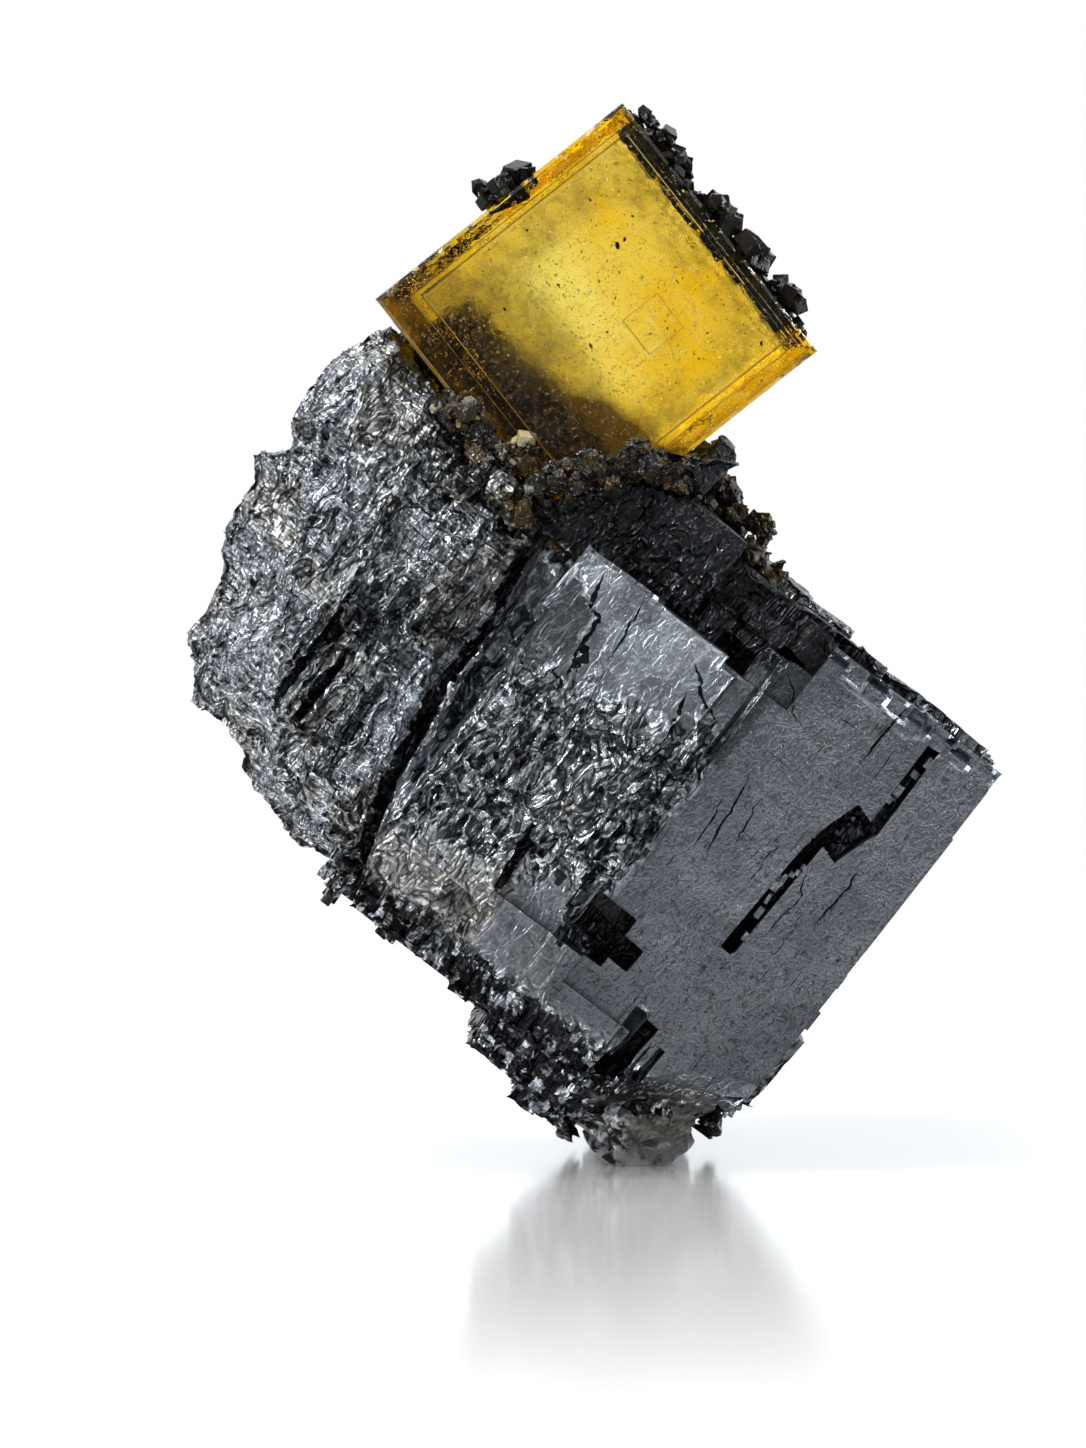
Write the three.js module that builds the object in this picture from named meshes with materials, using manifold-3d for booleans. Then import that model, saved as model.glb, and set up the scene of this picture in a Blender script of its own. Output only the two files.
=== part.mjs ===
// A cabinet mineral specimen: one honey-yellow fluorite cube on a mass of intergrown galena crystals.
// Millimetres, +Z up. The origin is the middle of the small flat foot that the specimen stands on,
// +X runs to the right and +Y away from someone who looks at the fluorite's large front face.
import * as THREE from "three";
import { ConvexGeometry } from "three/addons/geometries/ConvexGeometry.js";
import { TessellateModifier } from "three/addons/modifiers/TessellateModifier.js";
import { mergeVertices } from "three/addons/utils/BufferGeometryUtils.js";
import Module from "manifold-3d";

// Driving dimensions
const fluoriteEdge = 31.4;
const fluoriteCentre = new THREE.Vector3(-5.4, 2.2, 84.4);
const fluoriteTurn = 51.7; // degrees that the cube's edges are turned in the XZ plane
const fluoriteBackBevel = 2.8;
const fluoriteFrontBevel = 0.4;
const growthFrame = 25.6; // edge of the raised square on the front face
const growthStep = 0.25;
const rightTurn = 37.7; // degrees that the large right galena crystal is turned in the XZ plane
const fissureTurn = 30; // degrees that the open fissure leans from upright, seen from the front
const rightFront = -22; // Y of the large smooth face
const rightBack = 26;
const middleBack = 13; // Y of the set-back part of the right crystal's rear
const recessFront = -15; // Y of the dark face below the fluorite
const plateFront = -25.4;
const fissureWidth = 1.1;
const fissureFloor = -8; // Y where the two galena crystals grow together
const contactGap = 0.3; // clearance kept between pieces that touch

const wasm = await Module();
wasm.setup();

// Repeatable random numbers from 0 to 1
let randomState = 1;

function setSeed(seed) {
  randomState = seed * 7919;
}

function between(low, high) {
  randomState = (randomState * 1664525 + 1013904223) % 4294967296;
  return low + ((high - low) * randomState) / 4294967296;
}

// Solids and geometry

function solidOf(geometry) {
  const bare = geometry.clone();
  bare.deleteAttribute("normal");
  bare.deleteAttribute("uv");
  const merged = mergeVertices(bare, 1e-4);
  return new wasm.Manifold(
    new wasm.Mesh({
      numProp: 3,
      vertProperties: new Float32Array(merged.attributes.position.array),
      triVerts: new Uint32Array(merged.index.array),
    }),
  );
}

function geometryOf(solid) {
  const mesh = solid.getMesh();
  const geometry = new THREE.BufferGeometry();
  geometry.setAttribute("position", new THREE.BufferAttribute(mesh.vertProperties, 3));
  geometry.setIndex(new THREE.BufferAttribute(mesh.triVerts, 1));
  return geometry;
}

function joined(solids) {
  return wasm.Manifold.union(solids);
}

function largestBody(solid) {
  const bodies = solid.decompose();
  bodies.sort((one, other) => other.volume() - one.volume());
  return bodies[0];
}

// A crystal's frame: its first edge runs down to the right, its second down to the left, its third along +Y
function crystalFrame(turn, centre = new THREE.Vector3()) {
  const angle = THREE.MathUtils.degToRad(turn);
  const first = new THREE.Vector3(Math.cos(angle), 0, -Math.sin(angle));
  const second = new THREE.Vector3(-Math.sin(angle), 0, -Math.cos(angle));
  const depth = new THREE.Vector3(0, 1, 0);
  return new THREE.Matrix4().makeBasis(first, second, depth).setPosition(centre);
}

const fluoriteFrame = crystalFrame(fluoriteTurn, fluoriteCentre);
const rightFrame = crystalFrame(rightTurn);
const fissureFrame = crystalFrame(fissureTurn);

// A cleavage block, given as [low, high] along each edge of a crystal's frame, with a small lean in degrees
function blockIn(frame, [a0, a1], [b0, b1], [y0, y1], lean = [0, 0, 0]) {
  const geometry = new THREE.BoxGeometry(a1 - a0, b1 - b0, y1 - y0);
  const turns = lean.map(THREE.MathUtils.degToRad);
  geometry.applyMatrix4(new THREE.Matrix4().makeRotationFromEuler(new THREE.Euler(...turns)));
  geometry.translate((a0 + a1) / 2, (b0 + b1) / 2, (y0 + y1) / 2);
  geometry.applyMatrix4(frame);
  return solidOf(geometry);
}

function block(...spans) {
  return blockIn(rightFrame, ...spans);
}

function fissureBlock(...spans) {
  return blockIn(fissureFrame, ...spans);
}

// Cleavage blocks along one edge of the right crystal, each a little longer or shorter than the last
function ledges({ along, from, to, edge, reach, front, rough, thickness }) {
  const blocks = [];
  let place = from;
  while (place < to) {
    const length = between(1.8, 4.4);
    const outer = edge + between(-rough, rough);
    const span = [Math.min(outer, edge - reach), Math.max(outer, edge - reach)];
    const y0 = front + between(0, 2.2);
    const depth = [y0, y0 + between(0.6, 1) * thickness];
    const run = [place, place + length];
    blocks.push(along === "first" ? block(run, span, depth) : block(span, run, depth));
    place += length * between(0.75, 1.05);
  }
  return blocks;
}

// A smooth, repeatable unevenness: the shift of a point on a broken surface
function unevenness(x, y, z, amount) {
  const shiftX = Math.sin(0.61 * y + 0.83 * z) + 0.6 * Math.sin(1.37 * z - 0.9 * y + 1);
  const shiftY = Math.sin(0.72 * x - 0.66 * z + 2) + 0.6 * Math.sin(1.21 * x + 1.1 * z);
  const shiftZ = Math.sin(0.58 * x + 0.77 * y + 4) + 0.6 * Math.sin(1.43 * x - 0.8 * y + 3);
  return [shiftX * amount, shiftY * amount, shiftZ * amount];
}

// A broken lump: the hull of hand-placed corners, divided to a given edge length and made uneven
function lump(corners, edgeLength, amount, grow = 0) {
  const hull = new ConvexGeometry(corners.map((corner) => new THREE.Vector3(...corner)));
  hull.deleteAttribute("normal");
  const divided = new TessellateModifier(edgeLength, 24).modify(hull);
  const middle = new THREE.Box3().setFromBufferAttribute(divided.attributes.position);
  const centre = middle.getCenter(new THREE.Vector3());
  const place = divided.attributes.position;
  for (let i = 0; i < place.count; i++) {
    const point = new THREE.Vector3().fromBufferAttribute(place, i);
    const outward = point.clone().sub(centre).normalize().multiplyScalar(grow);
    const [dx, dy, dz] = unevenness(point.x, point.y, point.z, amount);
    place.setXYZ(i, point.x + dx + outward.x, point.y + dy + outward.y, point.z + dz + outward.z);
  }
  return solidOf(divided);
}

// A small many-faced crystal: the hull of corners spread around an ellipsoid
function grain(centre, radii, corners, grow = 0) {
  const points = [];
  for (let i = 0; i < corners; i++) {
    const height = 1 - (2 * (i + 0.5)) / corners;
    const angle = i * 2.39996 + between(-0.5, 0.5);
    const ring = Math.sqrt(1 - height * height);
    const reach = between(0.82, 1.12);
    const point = new THREE.Vector3(ring * Math.cos(angle), ring * Math.sin(angle), height);
    point.multiplyScalar(reach).multiply(radii.clone().addScalar(grow)).add(centre);
    points.push(point);
  }
  return solidOf(new ConvexGeometry(points));
}

// The fluorite

function fluoriteBody(grow = 0) {
  const half = fluoriteEdge / 2;
  const rings = [
    [half - fluoriteFrontBevel, -half],
    [half, -half + fluoriteFrontBevel],
    [half, half - fluoriteBackBevel],
    [half - fluoriteBackBevel, half],
  ];
  const points = [];
  for (const [reach, y] of rings) {
    const side = reach + grow;
    const depth = y + Math.sign(y) * grow;
    points.push(new THREE.Vector3(-side, -side, depth), new THREE.Vector3(side, -side, depth));
    points.push(new THREE.Vector3(-side, side, depth), new THREE.Vector3(side, side, depth));
  }
  const geometry = new ConvexGeometry(points);
  geometry.applyMatrix4(fluoriteFrame);
  return solidOf(geometry);
}

// A raised square on the front face, where growth stopped and started again
function growthSquare([a, b], edges, step) {
  const sink = 1;
  const geometry = new THREE.BoxGeometry(edges[0], edges[1], step + sink);
  geometry.translate(a, b, -fluoriteEdge / 2 + (sink - step) / 2);
  geometry.applyMatrix4(fluoriteFrame);
  return solidOf(geometry);
}

function buildFluorite() {
  return joined([
    fluoriteBody(),
    growthSquare([0.2, -1], [growthFrame, growthFrame], growthStep),
    growthSquare([3.4, -2.6], [3.4, 3.4], growthStep + 0.22),
    growthSquare([2.8, 0.4], [2.6, 2.4], growthStep + 0.14),
  ]);
}

// The sphalerite crystals that grew on the cube's two upper side faces

function sphaleriteGroup({ side = "right", from, to, rise, depths, size, seed }) {
  setSeed(seed);
  const half = fluoriteEdge / 2;
  const grains = [];
  for (const depth of depths) {
    for (let place = from; place <= to + 1e-6; place += size * 0.78) {
      const along = place - half + between(-0.3, 0.3);
      const out = -half - rise * between(0.1, 0.6);
      const spot = side === "right" ? [along, out] : [out, along];
      const centre = new THREE.Vector3(spot[0], spot[1], depth - half + between(-0.4, 0.4));
      centre.applyMatrix4(fluoriteFrame);
      const radius = size * between(0.6, 0.82);
      grains.push(grain(centre, new THREE.Vector3(radius, radius * between(0.9, 1.3), radius), 10));
    }
  }
  return largestBody(joined(grains).subtract(fluoriteBody(contactGap)));
}

// from and to are measured along the face from the cube's top corner, depths back from its front face
const sphaleriteGroups = [
  { name: "sphalerite_left", side: "left", from: 13, to: 15.6, rise: 3, depths: [2.6, 5.2], size: 3.1, seed: 3 },
  { name: "sphalerite_edge_1", from: 4, to: 9.2, rise: 2.2, depths: [2, 4.8, 7.8], size: 2.8, seed: 5 },
  { name: "sphalerite_edge_2", from: 13.2, to: 15.6, rise: 2, depths: [1.9, 4.6, 7.2], size: 2.7, seed: 11 },
  { name: "sphalerite_edge_3", from: 19, to: 20.8, rise: 1.8, depths: [1.8, 4.4], size: 2.3, seed: 17 },
  { name: "sphalerite_edge_4", from: 24, to: 27.8, rise: 2, depths: [1.9, 4.7, 7.5], size: 2.6, seed: 23 },
];

// The druse: crusts of small crystals where the fluorite meets the galena

// The mounds of one crust, and the small cubes that stand on them
function crustPieces({ path, mound, cubes, cubeSize, spread }) {
  const pieces = path.map(([x, y, z]) => ({
    centre: new THREE.Vector3(x, y, z),
    radii: new THREE.Vector3(...mound),
    corners: 10,
  }));
  for (let i = 0; i < cubes; i++) {
    const [x, y, z] = path[Math.floor((i / cubes) * path.length)];
    const centre = new THREE.Vector3(
      x + between(-spread[0], spread[0]),
      y - spread[1] * between(0.3, 1),
      z + between(-spread[2], spread[2]),
    );
    const turn = [between(0, 1.5), between(0, 1.5), between(0, 1.5)];
    pieces.push({ centre, edge: between(...cubeSize), turn });
  }
  return pieces;
}

// The crust's solid, or with grow the slightly larger pocket that it takes in the galena
function crustSolid(crust, grow = 0) {
  setSeed(crust.seed);
  const solids = crustPieces(crust).map(({ centre, radii, corners, edge, turn }) => {
    if (radii) return grain(centre, radii, corners, grow);
    const side = edge + 2 * grow;
    const geometry = new THREE.BoxGeometry(side, side, side);
    geometry.applyMatrix4(new THREE.Matrix4().makeRotationFromEuler(new THREE.Euler(...turn)));
    geometry.translate(centre.x, centre.y, centre.z);
    return solidOf(geometry);
  });
  return joined(solids);
}

const crusts = [
  {
    name: "druse_left",
    path: [[-18.4, -12.4, 75.4], [-16.6, -13, 72.8], [-14.6, -13.4, 70.2], [-12.4, -14, 67.6]],
    mound: [2.6, 3.4, 2.8],
    cubes: 12,
    cubeSize: [1.3, 2.4],
    spread: [2.2, 4, 2.2],
    seed: 29,
  },
  {
    name: "druse_front",
    path: [[-8, -15.8, 69.4], [-5.2, -15.9, 70], [-2.4, -16, 70.6], [0.4, -16, 70.4], [3, -15.6, 69.4]],
    mound: [2.4, 2.9, 2.4],
    cubes: 12,
    cubeSize: [1.1, 2.1],
    spread: [1.8, 3.2, 1.8],
    seed: 31,
  },
  {
    name: "druse_right",
    path: [[5.4, -5, 70.4], [7, -4, 67.6], [8.2, -3, 64.4], [9.6, -2, 61.4], [11.6, -1, 58.8]],
    mound: [2.8, 6, 3],
    cubes: 14,
    cubeSize: [1.3, 2.4],
    spread: [2.4, 5.4, 2.4],
    seed: 37,
  },
];

// The pale and brown host rock at the lower tip, cut flat where the specimen stands

const hostCorners = [
  [-5, -10.5, -1.2], [3.2, -10.5, -1.2], [-6, -8, -1.2], [3.8, -8, -1.2],
  [-6, 9.5, -1.2], [3.8, 9.5, -1.2], [-5, 12, -1.2], [3, 12, -1.2],
  [-7.2, -12, 2.2], [4.8, -12.4, 2.2], [-7, 13.4, 2.4], [5, 13.8, 2.6],
  [-8.4, -14.4, 4.8], [6.4, -15, 4.8], [-8.2, 14.6, 5], [6.4, 15, 5.2],
  [-7, -16.2, 8.8], [7.8, -16.6, 9], [-7, 15, 10.4], [6, 16, 10.4],
  [-3, -14.6, 12], [3, -14.4, 12.4], [-4, 13, 13], [4, 13, 13],
];

function hostRock(grow = 0) {
  return lump(hostCorners, 5.6, 0.3, grow).trimByPlane([0, 0, 1], 0);
}

// The galena

// The left crystal: a broken flake whose front falls away to a side facet on the left
const leftUpperCorners = [
  [-25, -9.5, 82.4], [-29.6, -12, 79.4], [-32.8, -13.6, 74], [-24, -14, 73], [-17, -12.5, 74],
  [-24.6, -3, 84.4], [-28.2, -3, 84.8], [-31.4, -4, 82.4], [-33.2, -4, 78.4], [-35.4, -5, 73.4],
  [-25, 5, 83.4], [-30.4, 4, 79], [-34, 3, 71], [-20, 8, 70], [-14, 6, 72], [-34, -6, 66], [-20, -6, 62],
];

const leftMainCorners = [
  [-32.6, -13.4, 73], [-35, -15.6, 65], [-37.4, -15.2, 55], [-35.4, -15, 45.6], [-30.4, -16, 35.6],
  [-27.6, -15.6, 31], [-22, -17, 44], [-15.6, -17.2, 55.4], [-9.6, -16, 66], [-16, -13.8, 72.4],
  [-38.8, -6, 70.2], [-42, -6.4, 67], [-43.9, -6, 61], [-46.6, -5.4, 54], [-46, -5, 47],
  [-41.2, -4.4, 39.8], [-35.2, -5, 31.8], [-28.6, -5, 26],
  [-36, 1.6, 66], [-40, 0.6, 52], [-35, 1, 41], [-25, 3, 31], [-8, 8, 50], [-8, 8, 68], [-20, 7, 72],
];

// A ridge that rises behind the fluorite's lower left edge
const ridgeCorners = [
  [-26.4, 4, 83], [-21.4, 8, 88.4], [-16.4, 14, 86.4], [-8, 14, 76.6], [-1.6, 12, 68.6],
  [-23.4, 19.6, 82], [-20.2, 21.6, 86.6], [-15.4, 22, 84], [-7, 23, 74.6], [-2, 22, 67],
  [-20, 14, 70], [-12, 15, 56], [-4, 16, 58], [-22, 0, 66], [-6, 2, 58],
];

function leftCrystal() {
  const steps = [
    block([-60.4, -57.4], [-31, -18], [-16.8, -8], [5, -3, 0]),
    block([-57.3, -53], [-26, -13], [-17.2, -8], [3, 2, 0]),
    block([-56, -49.6], [-36, -27.4], [-17.4, -8], [4, 0, 1]),
    block([-52.6, -46], [-25, -10.6], [-17.2, -8], [2, 3, -2]),
    block([-62.6, -57.8], [-43, -33], [-15.8, -8], [4, -4, 2]),
    block([-56.8, -50.8], [-47, -40], [-16.8, -8], [6, 0, -2]),
    block([-66.5, -61.6], [-36, -26], [-12.6, -4], [2, -22, 0]),
  ];
  const grooves = [
    block([-58.7, -57.5], [-25.6, -13], [-24, -13.4], [0, 0, 1]),
    block([-56.2, -55.5], [-21.7, -15], [-24, -13.8], [0, 0, -1]),
    block([-54, -53.5], [-31, -24], [-24, -15.4], [0, 0, 3]),
    block([-51.2, -50.6], [-22, -16], [-24, -15.2], [0, 0, -4]),
  ];
  const flake = [lump(leftUpperCorners, 5.4, 0.36), lump(leftMainCorners, 5.4, 0.45)];
  return joined([...flake, lump(ridgeCorners, 7, 0.34), ...steps]).subtract(joined(grooves));
}

// The large right crystal, a cube that stands on one corner
function rightCrystal() {
  setSeed(41);
  const body = [
    block([-42.6, 2.8], [-45, -26], [rightFront, rightBack]),
    block([-42.6, 2.8], [-27, -3], [rightFront, middleBack]),
    block([-42.6, -2], [-54.2, -44], [recessFront, rightBack]),
    block([-18, 2.6], [-53, -44], [rightFront, rightBack - 3]),
    block([-23.4, -17.5], [-49.2, -44], [rightFront + 1.2, 0]),
    block([-22.6, 2.6], [-4, 1.2], [rightFront + 2.2, middleBack - 2]),
    block([-16, -4.5], [0, 3.2], [-15, 9], [0, 0, 2]),
    block([2, 3.8], [-20, -9], [-18, 12], [0, 0, 3]),
    block([-36, -20.5], [-57.6, -50], [8, 23], [2, 0, 3]),
    block([-30, -14], [-56.6, -46], [12, 27.5], [0, 4, -2]),
    block([-15, 2.8], [-50, -22], [18, 30], [0, 1, 0]),
    block([-32, -12], [-38, -22], [6, 19], [3, 0, 2]),
    block([-47, -41], [-52, -6], [-13.5, 8]),
  ];
  const recess = [
    block([-40.5, -31], [-56, -47], [recessFront - 2, 0], [3, -2, 0]),
    block([-26.5, -21.5], [-51.4, -47.2], [recessFront - 3.6, 0], [0, 3, 1]),
    block([-21.8, -17.6], [-53.6, -49.6], [recessFront - 4.6, 0], [0, 0, 2]),
    block([-30.4, -27.2], [-50.2, -45.6], [recessFront - 2.8, 0], [4, 0, 1]),
    block([-46.5, -38], [-61, -52], [-16.4, -4], [0, 0, 4]),
    block([-41, -37.2], [-62.4, -57.4], [-18.4, -9], [6, -5, 10]),
    block([-49.4, -38], [-53.6, -44], [recessFront - 0.5, -2]),
    block([-44, -38], [-58.4, -52], [recessFront - 0.9, -2], [3, -2, 0]),
    block([-54, -49], [-50.5, -43], [-15.6, -2], [4, -6, 8]),
  ];
  const plates = [
    block([-42.8, -25.8], [-45.8, -31], [plateFront, -18], [0.8, -1.6, 0]),
    block([-43.4, -34.6], [-46, -38.4], [plateFront + 0.9, -18], [-3, 3, 0.5]),
    block([-42.2, -24.4], [-33, -21], [plateFront + 0.3, -18], [-1.2, -2.4, 0]),
    block([-41.6, -29.8], [-22, -11.6], [plateFront + 0.9, -18], [2, 2.4, 0]),
    block([-41, -33.8], [-13, -5.2], [plateFront + 2.2, -16], [5, 3, 0]),
    block([-30.4, -22.4], [-22.4, -14.8], [plateFront + 1.7, -18], [2.4, -2, 1]),
    block([-29.6, -19], [-13.6, -6.4], [plateFront + 2, -18], [1, 2, -1]),
    block([-19.6, -10.8], [-10.6, -3.2], [plateFront + 2.6, -18], [3, 0, 0]),
    block([-26.4, -23.6], [-44.6, -38.6], [plateFront + 0.2, -18], [0, 9, 2]),
    block([-25.4, -22.4], [-39, -33], [plateFront + 0.9, -18], [0, 8, -2]),
    block([-24.4, -21.6], [-33.4, -26.6], [plateFront + 1.2, -18], [0, 9, 1]),
    block([-23.4, -20.8], [-27, -21.4], [plateFront + 1.5, -18], [0, 7, -2]),
  ];
  const alongFirst = { along: "first", rough: 1 };
  const alongSecond = { along: "second", rough: 0.4 };
  const rims = [
    ...ledges({ ...alongFirst, from: -17.5, to: 1.4, edge: -53.6, reach: -3, front: -19.6, thickness: 16 }),
    ...ledges({ ...alongFirst, from: -17, to: 1, edge: -54.2, reach: -4, front: -8, thickness: 20 }),
    ...ledges({ ...alongFirst, from: -42, to: -20, edge: -3.2, reach: 3, front: -20, thickness: 14 }),
    ...ledges({ ...alongFirst, from: -42, to: -20, edge: -3.6, reach: 3, front: -6, thickness: 17 }),
    ...ledges({ ...alongFirst, from: -22, to: -5, edge: 1.2, reach: 3, front: -17.5, thickness: 14 }),
    ...ledges({ ...alongFirst, from: -40, to: 0, edge: -26, reach: 5, front: 8, thickness: 16 }),
    ...ledges({ ...alongSecond, from: -30, to: -14, edge: 2.9, reach: 2.4, front: -20.4, thickness: 18 }),
    ...ledges({ ...alongSecond, from: -44, to: -28, edge: 2.8, reach: 2.4, front: 4, thickness: 20 }),
  ];
  const cuts = [
    block([-4.8, -3.5], [-50.8, -40.6], [-30, -15.5], [0, 0, -1]),
    block([-7.6, -4.2], [-41.6, -36.4], [-30, -16], [0, 0, 18]),
    block([-8.6, -7.2], [-37.4, -22.6], [-30, -16], [0, 0, 2]),
    block([-21.6, -17], [-19.6, -13.8], [-30, -17.4], [0, 0, 0]),
    block([-18.4, -14.6], [-17.6, -15], [-30, -18], [0, 0, 2]),
    block([-10.4, -8.9], [-12.4, -5.2], [-30, -16], [0, 0, 4]),
    block([-7.6, -6.9], [-11, -5.8], [-30, -18], [0, 0, 2]),
    block([-34.9, -34.1], [-46.6, -41], [-30, -20], [0, 0, 8]),
    block([-36.6, -33.4], [-40.8, -38.9], [-30, -21], [0, 0, 8]),
    block([-30.6, -29.9], [-20.8, -13.8], [-30, -19.5], [0, 0, -6]),
    fissureBlock([-75, -41.6], [-56, 0], [-40, fissureFloor - 4]),
  ];
  return joined([...body, ...recess, ...plates, ...rims]).subtract(joined(cuts));
}

// The open fissure between the two crystals, in three straight runs
function fissure() {
  const half = fissureWidth / 2;
  return joined([
    fissureBlock([-41.6 - half, -41.6 + half], [-52, -36], [-40, fissureFloor], [0, 0, -1]),
    fissureBlock([-42 - half, -42 + half], [-37, -20], [-40, fissureFloor], [0, 0, 1]),
    fissureBlock([-41 - half, -41 + half], [-21, -8], [-40, fissureFloor], [0, 0, -8]),
  ]);
}

// What is left after the lower end broke away: everything inside a wedge that narrows to the host rock
const wedgeCorners = [
  [-9, -6.4, 0.8], [3.4, -6.4, 0.8], [-9, 7, 0.8], [3.4, 7, 0.8],
  [-14, -18, 7.2], [12, -19, 7.8], [-14, 17, 7], [12, 18, 7.6],
  [-30, -26, 14], [32, -26, 14], [-30, 24, 12.6], [32, 26, 13],
  [-70, -44, 50], [70, -44, 50], [-70, 44, 50], [70, 44, 50],
  [-70, -44, 130], [70, -44, 130], [-70, 44, 130], [70, 44, 130],
];

function buildGalena() {
  const grown = joined([leftCrystal(), rightCrystal()]).subtract(fissure());
  const whole = grown.intersect(lump(wedgeCorners, 7, 0.5));
  const pockets = [
    fluoriteBody(contactGap),
    growthSquare([0.2, -1], [growthFrame + 1, growthFrame + 1], growthStep + contactGap),
    hostRock(contactGap),
  ];
  for (const crust of crusts) pockets.push(crustSolid(crust, contactGap));
  return largestBody(whole.subtract(joined(pockets)));
}

// The finished specimen

const galenaMetal = new THREE.MeshStandardMaterial({ color: 0x5a5f66, roughness: 0.35, metalness: 0.9 });
const fluoriteGlass = new THREE.MeshStandardMaterial({ color: 0xe3ad1c, roughness: 0.08, metalness: 0 });
const sphaleriteGloss = new THREE.MeshStandardMaterial({ color: 0x1d1916, roughness: 0.25, metalness: 0.1 });
const druseSparkle = new THREE.MeshStandardMaterial({ color: 0x5f5a48, roughness: 0.4, metalness: 0.2 });
const hostStone = new THREE.MeshStandardMaterial({ color: 0x6a6353, roughness: 0.75, metalness: 0 });

const specimen = new THREE.Group();

function addPiece(name, solid, material) {
  const mesh = new THREE.Mesh(geometryOf(solid), material);
  mesh.name = name;
  specimen.add(mesh);
}

addPiece("galena", buildGalena(), galenaMetal);
addPiece("fluorite_cube", buildFluorite(), fluoriteGlass);
addPiece("host_rock", hostRock(), hostStone);
let taken = fluoriteBody(contactGap);
for (const crust of crusts) {
  addPiece(crust.name, largestBody(crustSolid(crust).subtract(taken)), druseSparkle);
  taken = taken.add(crustSolid(crust, contactGap));
}
for (const group of sphaleriteGroups) addPiece(group.name, sphaleriteGroup(group), sphaleriteGloss);

export default specimen;
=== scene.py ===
"""Dresses the fluorite on galena specimen: its metal, clear crystal and rock, with studio light and a camera.

Every length is in metres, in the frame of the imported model: +Z up and the specimen's front towards -Y.
"""

import logging
import math
from dataclasses import dataclass
from enum import Enum
from typing import Sequence, Union

import bpy
import numpy as np
from mathutils import Matrix, Vector
from mathutils.bvhtree import BVHTree


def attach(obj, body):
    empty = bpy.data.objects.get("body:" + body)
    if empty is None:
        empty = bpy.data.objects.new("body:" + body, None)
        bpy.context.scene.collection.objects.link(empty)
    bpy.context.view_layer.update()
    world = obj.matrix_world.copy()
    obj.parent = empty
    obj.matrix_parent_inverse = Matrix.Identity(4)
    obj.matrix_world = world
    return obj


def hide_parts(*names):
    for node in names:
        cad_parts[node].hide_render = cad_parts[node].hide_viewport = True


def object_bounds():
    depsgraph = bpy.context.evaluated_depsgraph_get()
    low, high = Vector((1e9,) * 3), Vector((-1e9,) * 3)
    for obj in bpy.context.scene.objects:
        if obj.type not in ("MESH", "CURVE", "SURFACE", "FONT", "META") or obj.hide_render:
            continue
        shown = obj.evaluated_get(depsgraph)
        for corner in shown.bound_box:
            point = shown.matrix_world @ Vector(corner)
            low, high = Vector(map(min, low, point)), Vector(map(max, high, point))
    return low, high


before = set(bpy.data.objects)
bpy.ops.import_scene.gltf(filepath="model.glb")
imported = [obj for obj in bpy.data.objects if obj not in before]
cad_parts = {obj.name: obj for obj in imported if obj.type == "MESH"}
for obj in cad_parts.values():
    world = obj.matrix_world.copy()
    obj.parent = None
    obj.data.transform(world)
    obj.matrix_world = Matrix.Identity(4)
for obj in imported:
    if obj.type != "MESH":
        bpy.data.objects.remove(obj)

LOG = logging.getLogger("specimen")
MM = 0.001
ROOT = "root"

CAD_BOX = [list(corner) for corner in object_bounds()]
MERGE_DISTANCE = 1e-7


# Shader maths


class Socket:
    """A value or vector socket that builds Math nodes when it is used in an expression."""

    def __init__(self, shop: "Shop", socket: bpy.types.NodeSocket) -> None:
        """Keeps the socket and the shop that makes nodes for it."""
        self.shop = shop
        self.socket = socket

    def _math(self, operation: str, *values: "Number") -> "Socket":
        """Returns the result of one Math node."""
        return self.shop.node("ShaderNodeMath", {"operation": operation}, list(values))

    def __add__(self, other: "Number") -> "Socket":
        """Adds a number or a socket."""
        return self._math("ADD", self, other)

    __radd__ = __add__

    def __mul__(self, other: "Number") -> "Socket":
        """Multiplies by a number or a socket."""
        return self._math("MULTIPLY", self, other)

    __rmul__ = __mul__

    def __sub__(self, other: "Number") -> "Socket":
        """Subtracts a number or a socket."""
        return self._math("SUBTRACT", self, other)

    def __rsub__(self, other: "Number") -> "Socket":
        """Subtracts this socket from a number."""
        return self._math("SUBTRACT", other, self)

    def abs(self) -> "Socket":
        """Returns the absolute value."""
        return self._math("ABSOLUTE", self)

    def above(self, other: "Number") -> "Socket":
        """Returns the larger of two values."""
        return self._math("MAXIMUM", self, other)

    def pingpong(self, reach: float) -> "Socket":
        """Returns a value that goes up to the reach and down to 0 again and again."""
        return self._math("PINGPONG", self, reach)

    def ramp(self, low: float, high: float) -> "Socket":
        """Returns a smooth step.

        Args:
            low: the value that gives 0.
            high: the value that gives 1, which may be below low.

        Returns:
            The socket that goes from 0 to 1.
        """
        flip = low > high
        ends = (high, low) if flip else (low, high)
        settings = {"interpolation_type": "SMOOTHSTEP", "clamp": True}
        values = {"Value": self, "From Min": ends[0], "From Max": ends[1]}
        made = self.shop.node("ShaderNodeMapRange", settings, values)
        return 1 - made if flip else made


Number = Union[Socket, float, int]
Colour = tuple[float, float, float]
MIX_COLOUR_INPUTS = (0, 6, 7)
MIX_COLOUR_OUTPUT = 2


class Use(Enum):
    """What a tree of nodes is for: where Blender keeps it, and its last node."""

    MATERIAL = ("materials", "ShaderNodeOutputMaterial")
    WORLD = ("worlds", "ShaderNodeOutputWorld")


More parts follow.
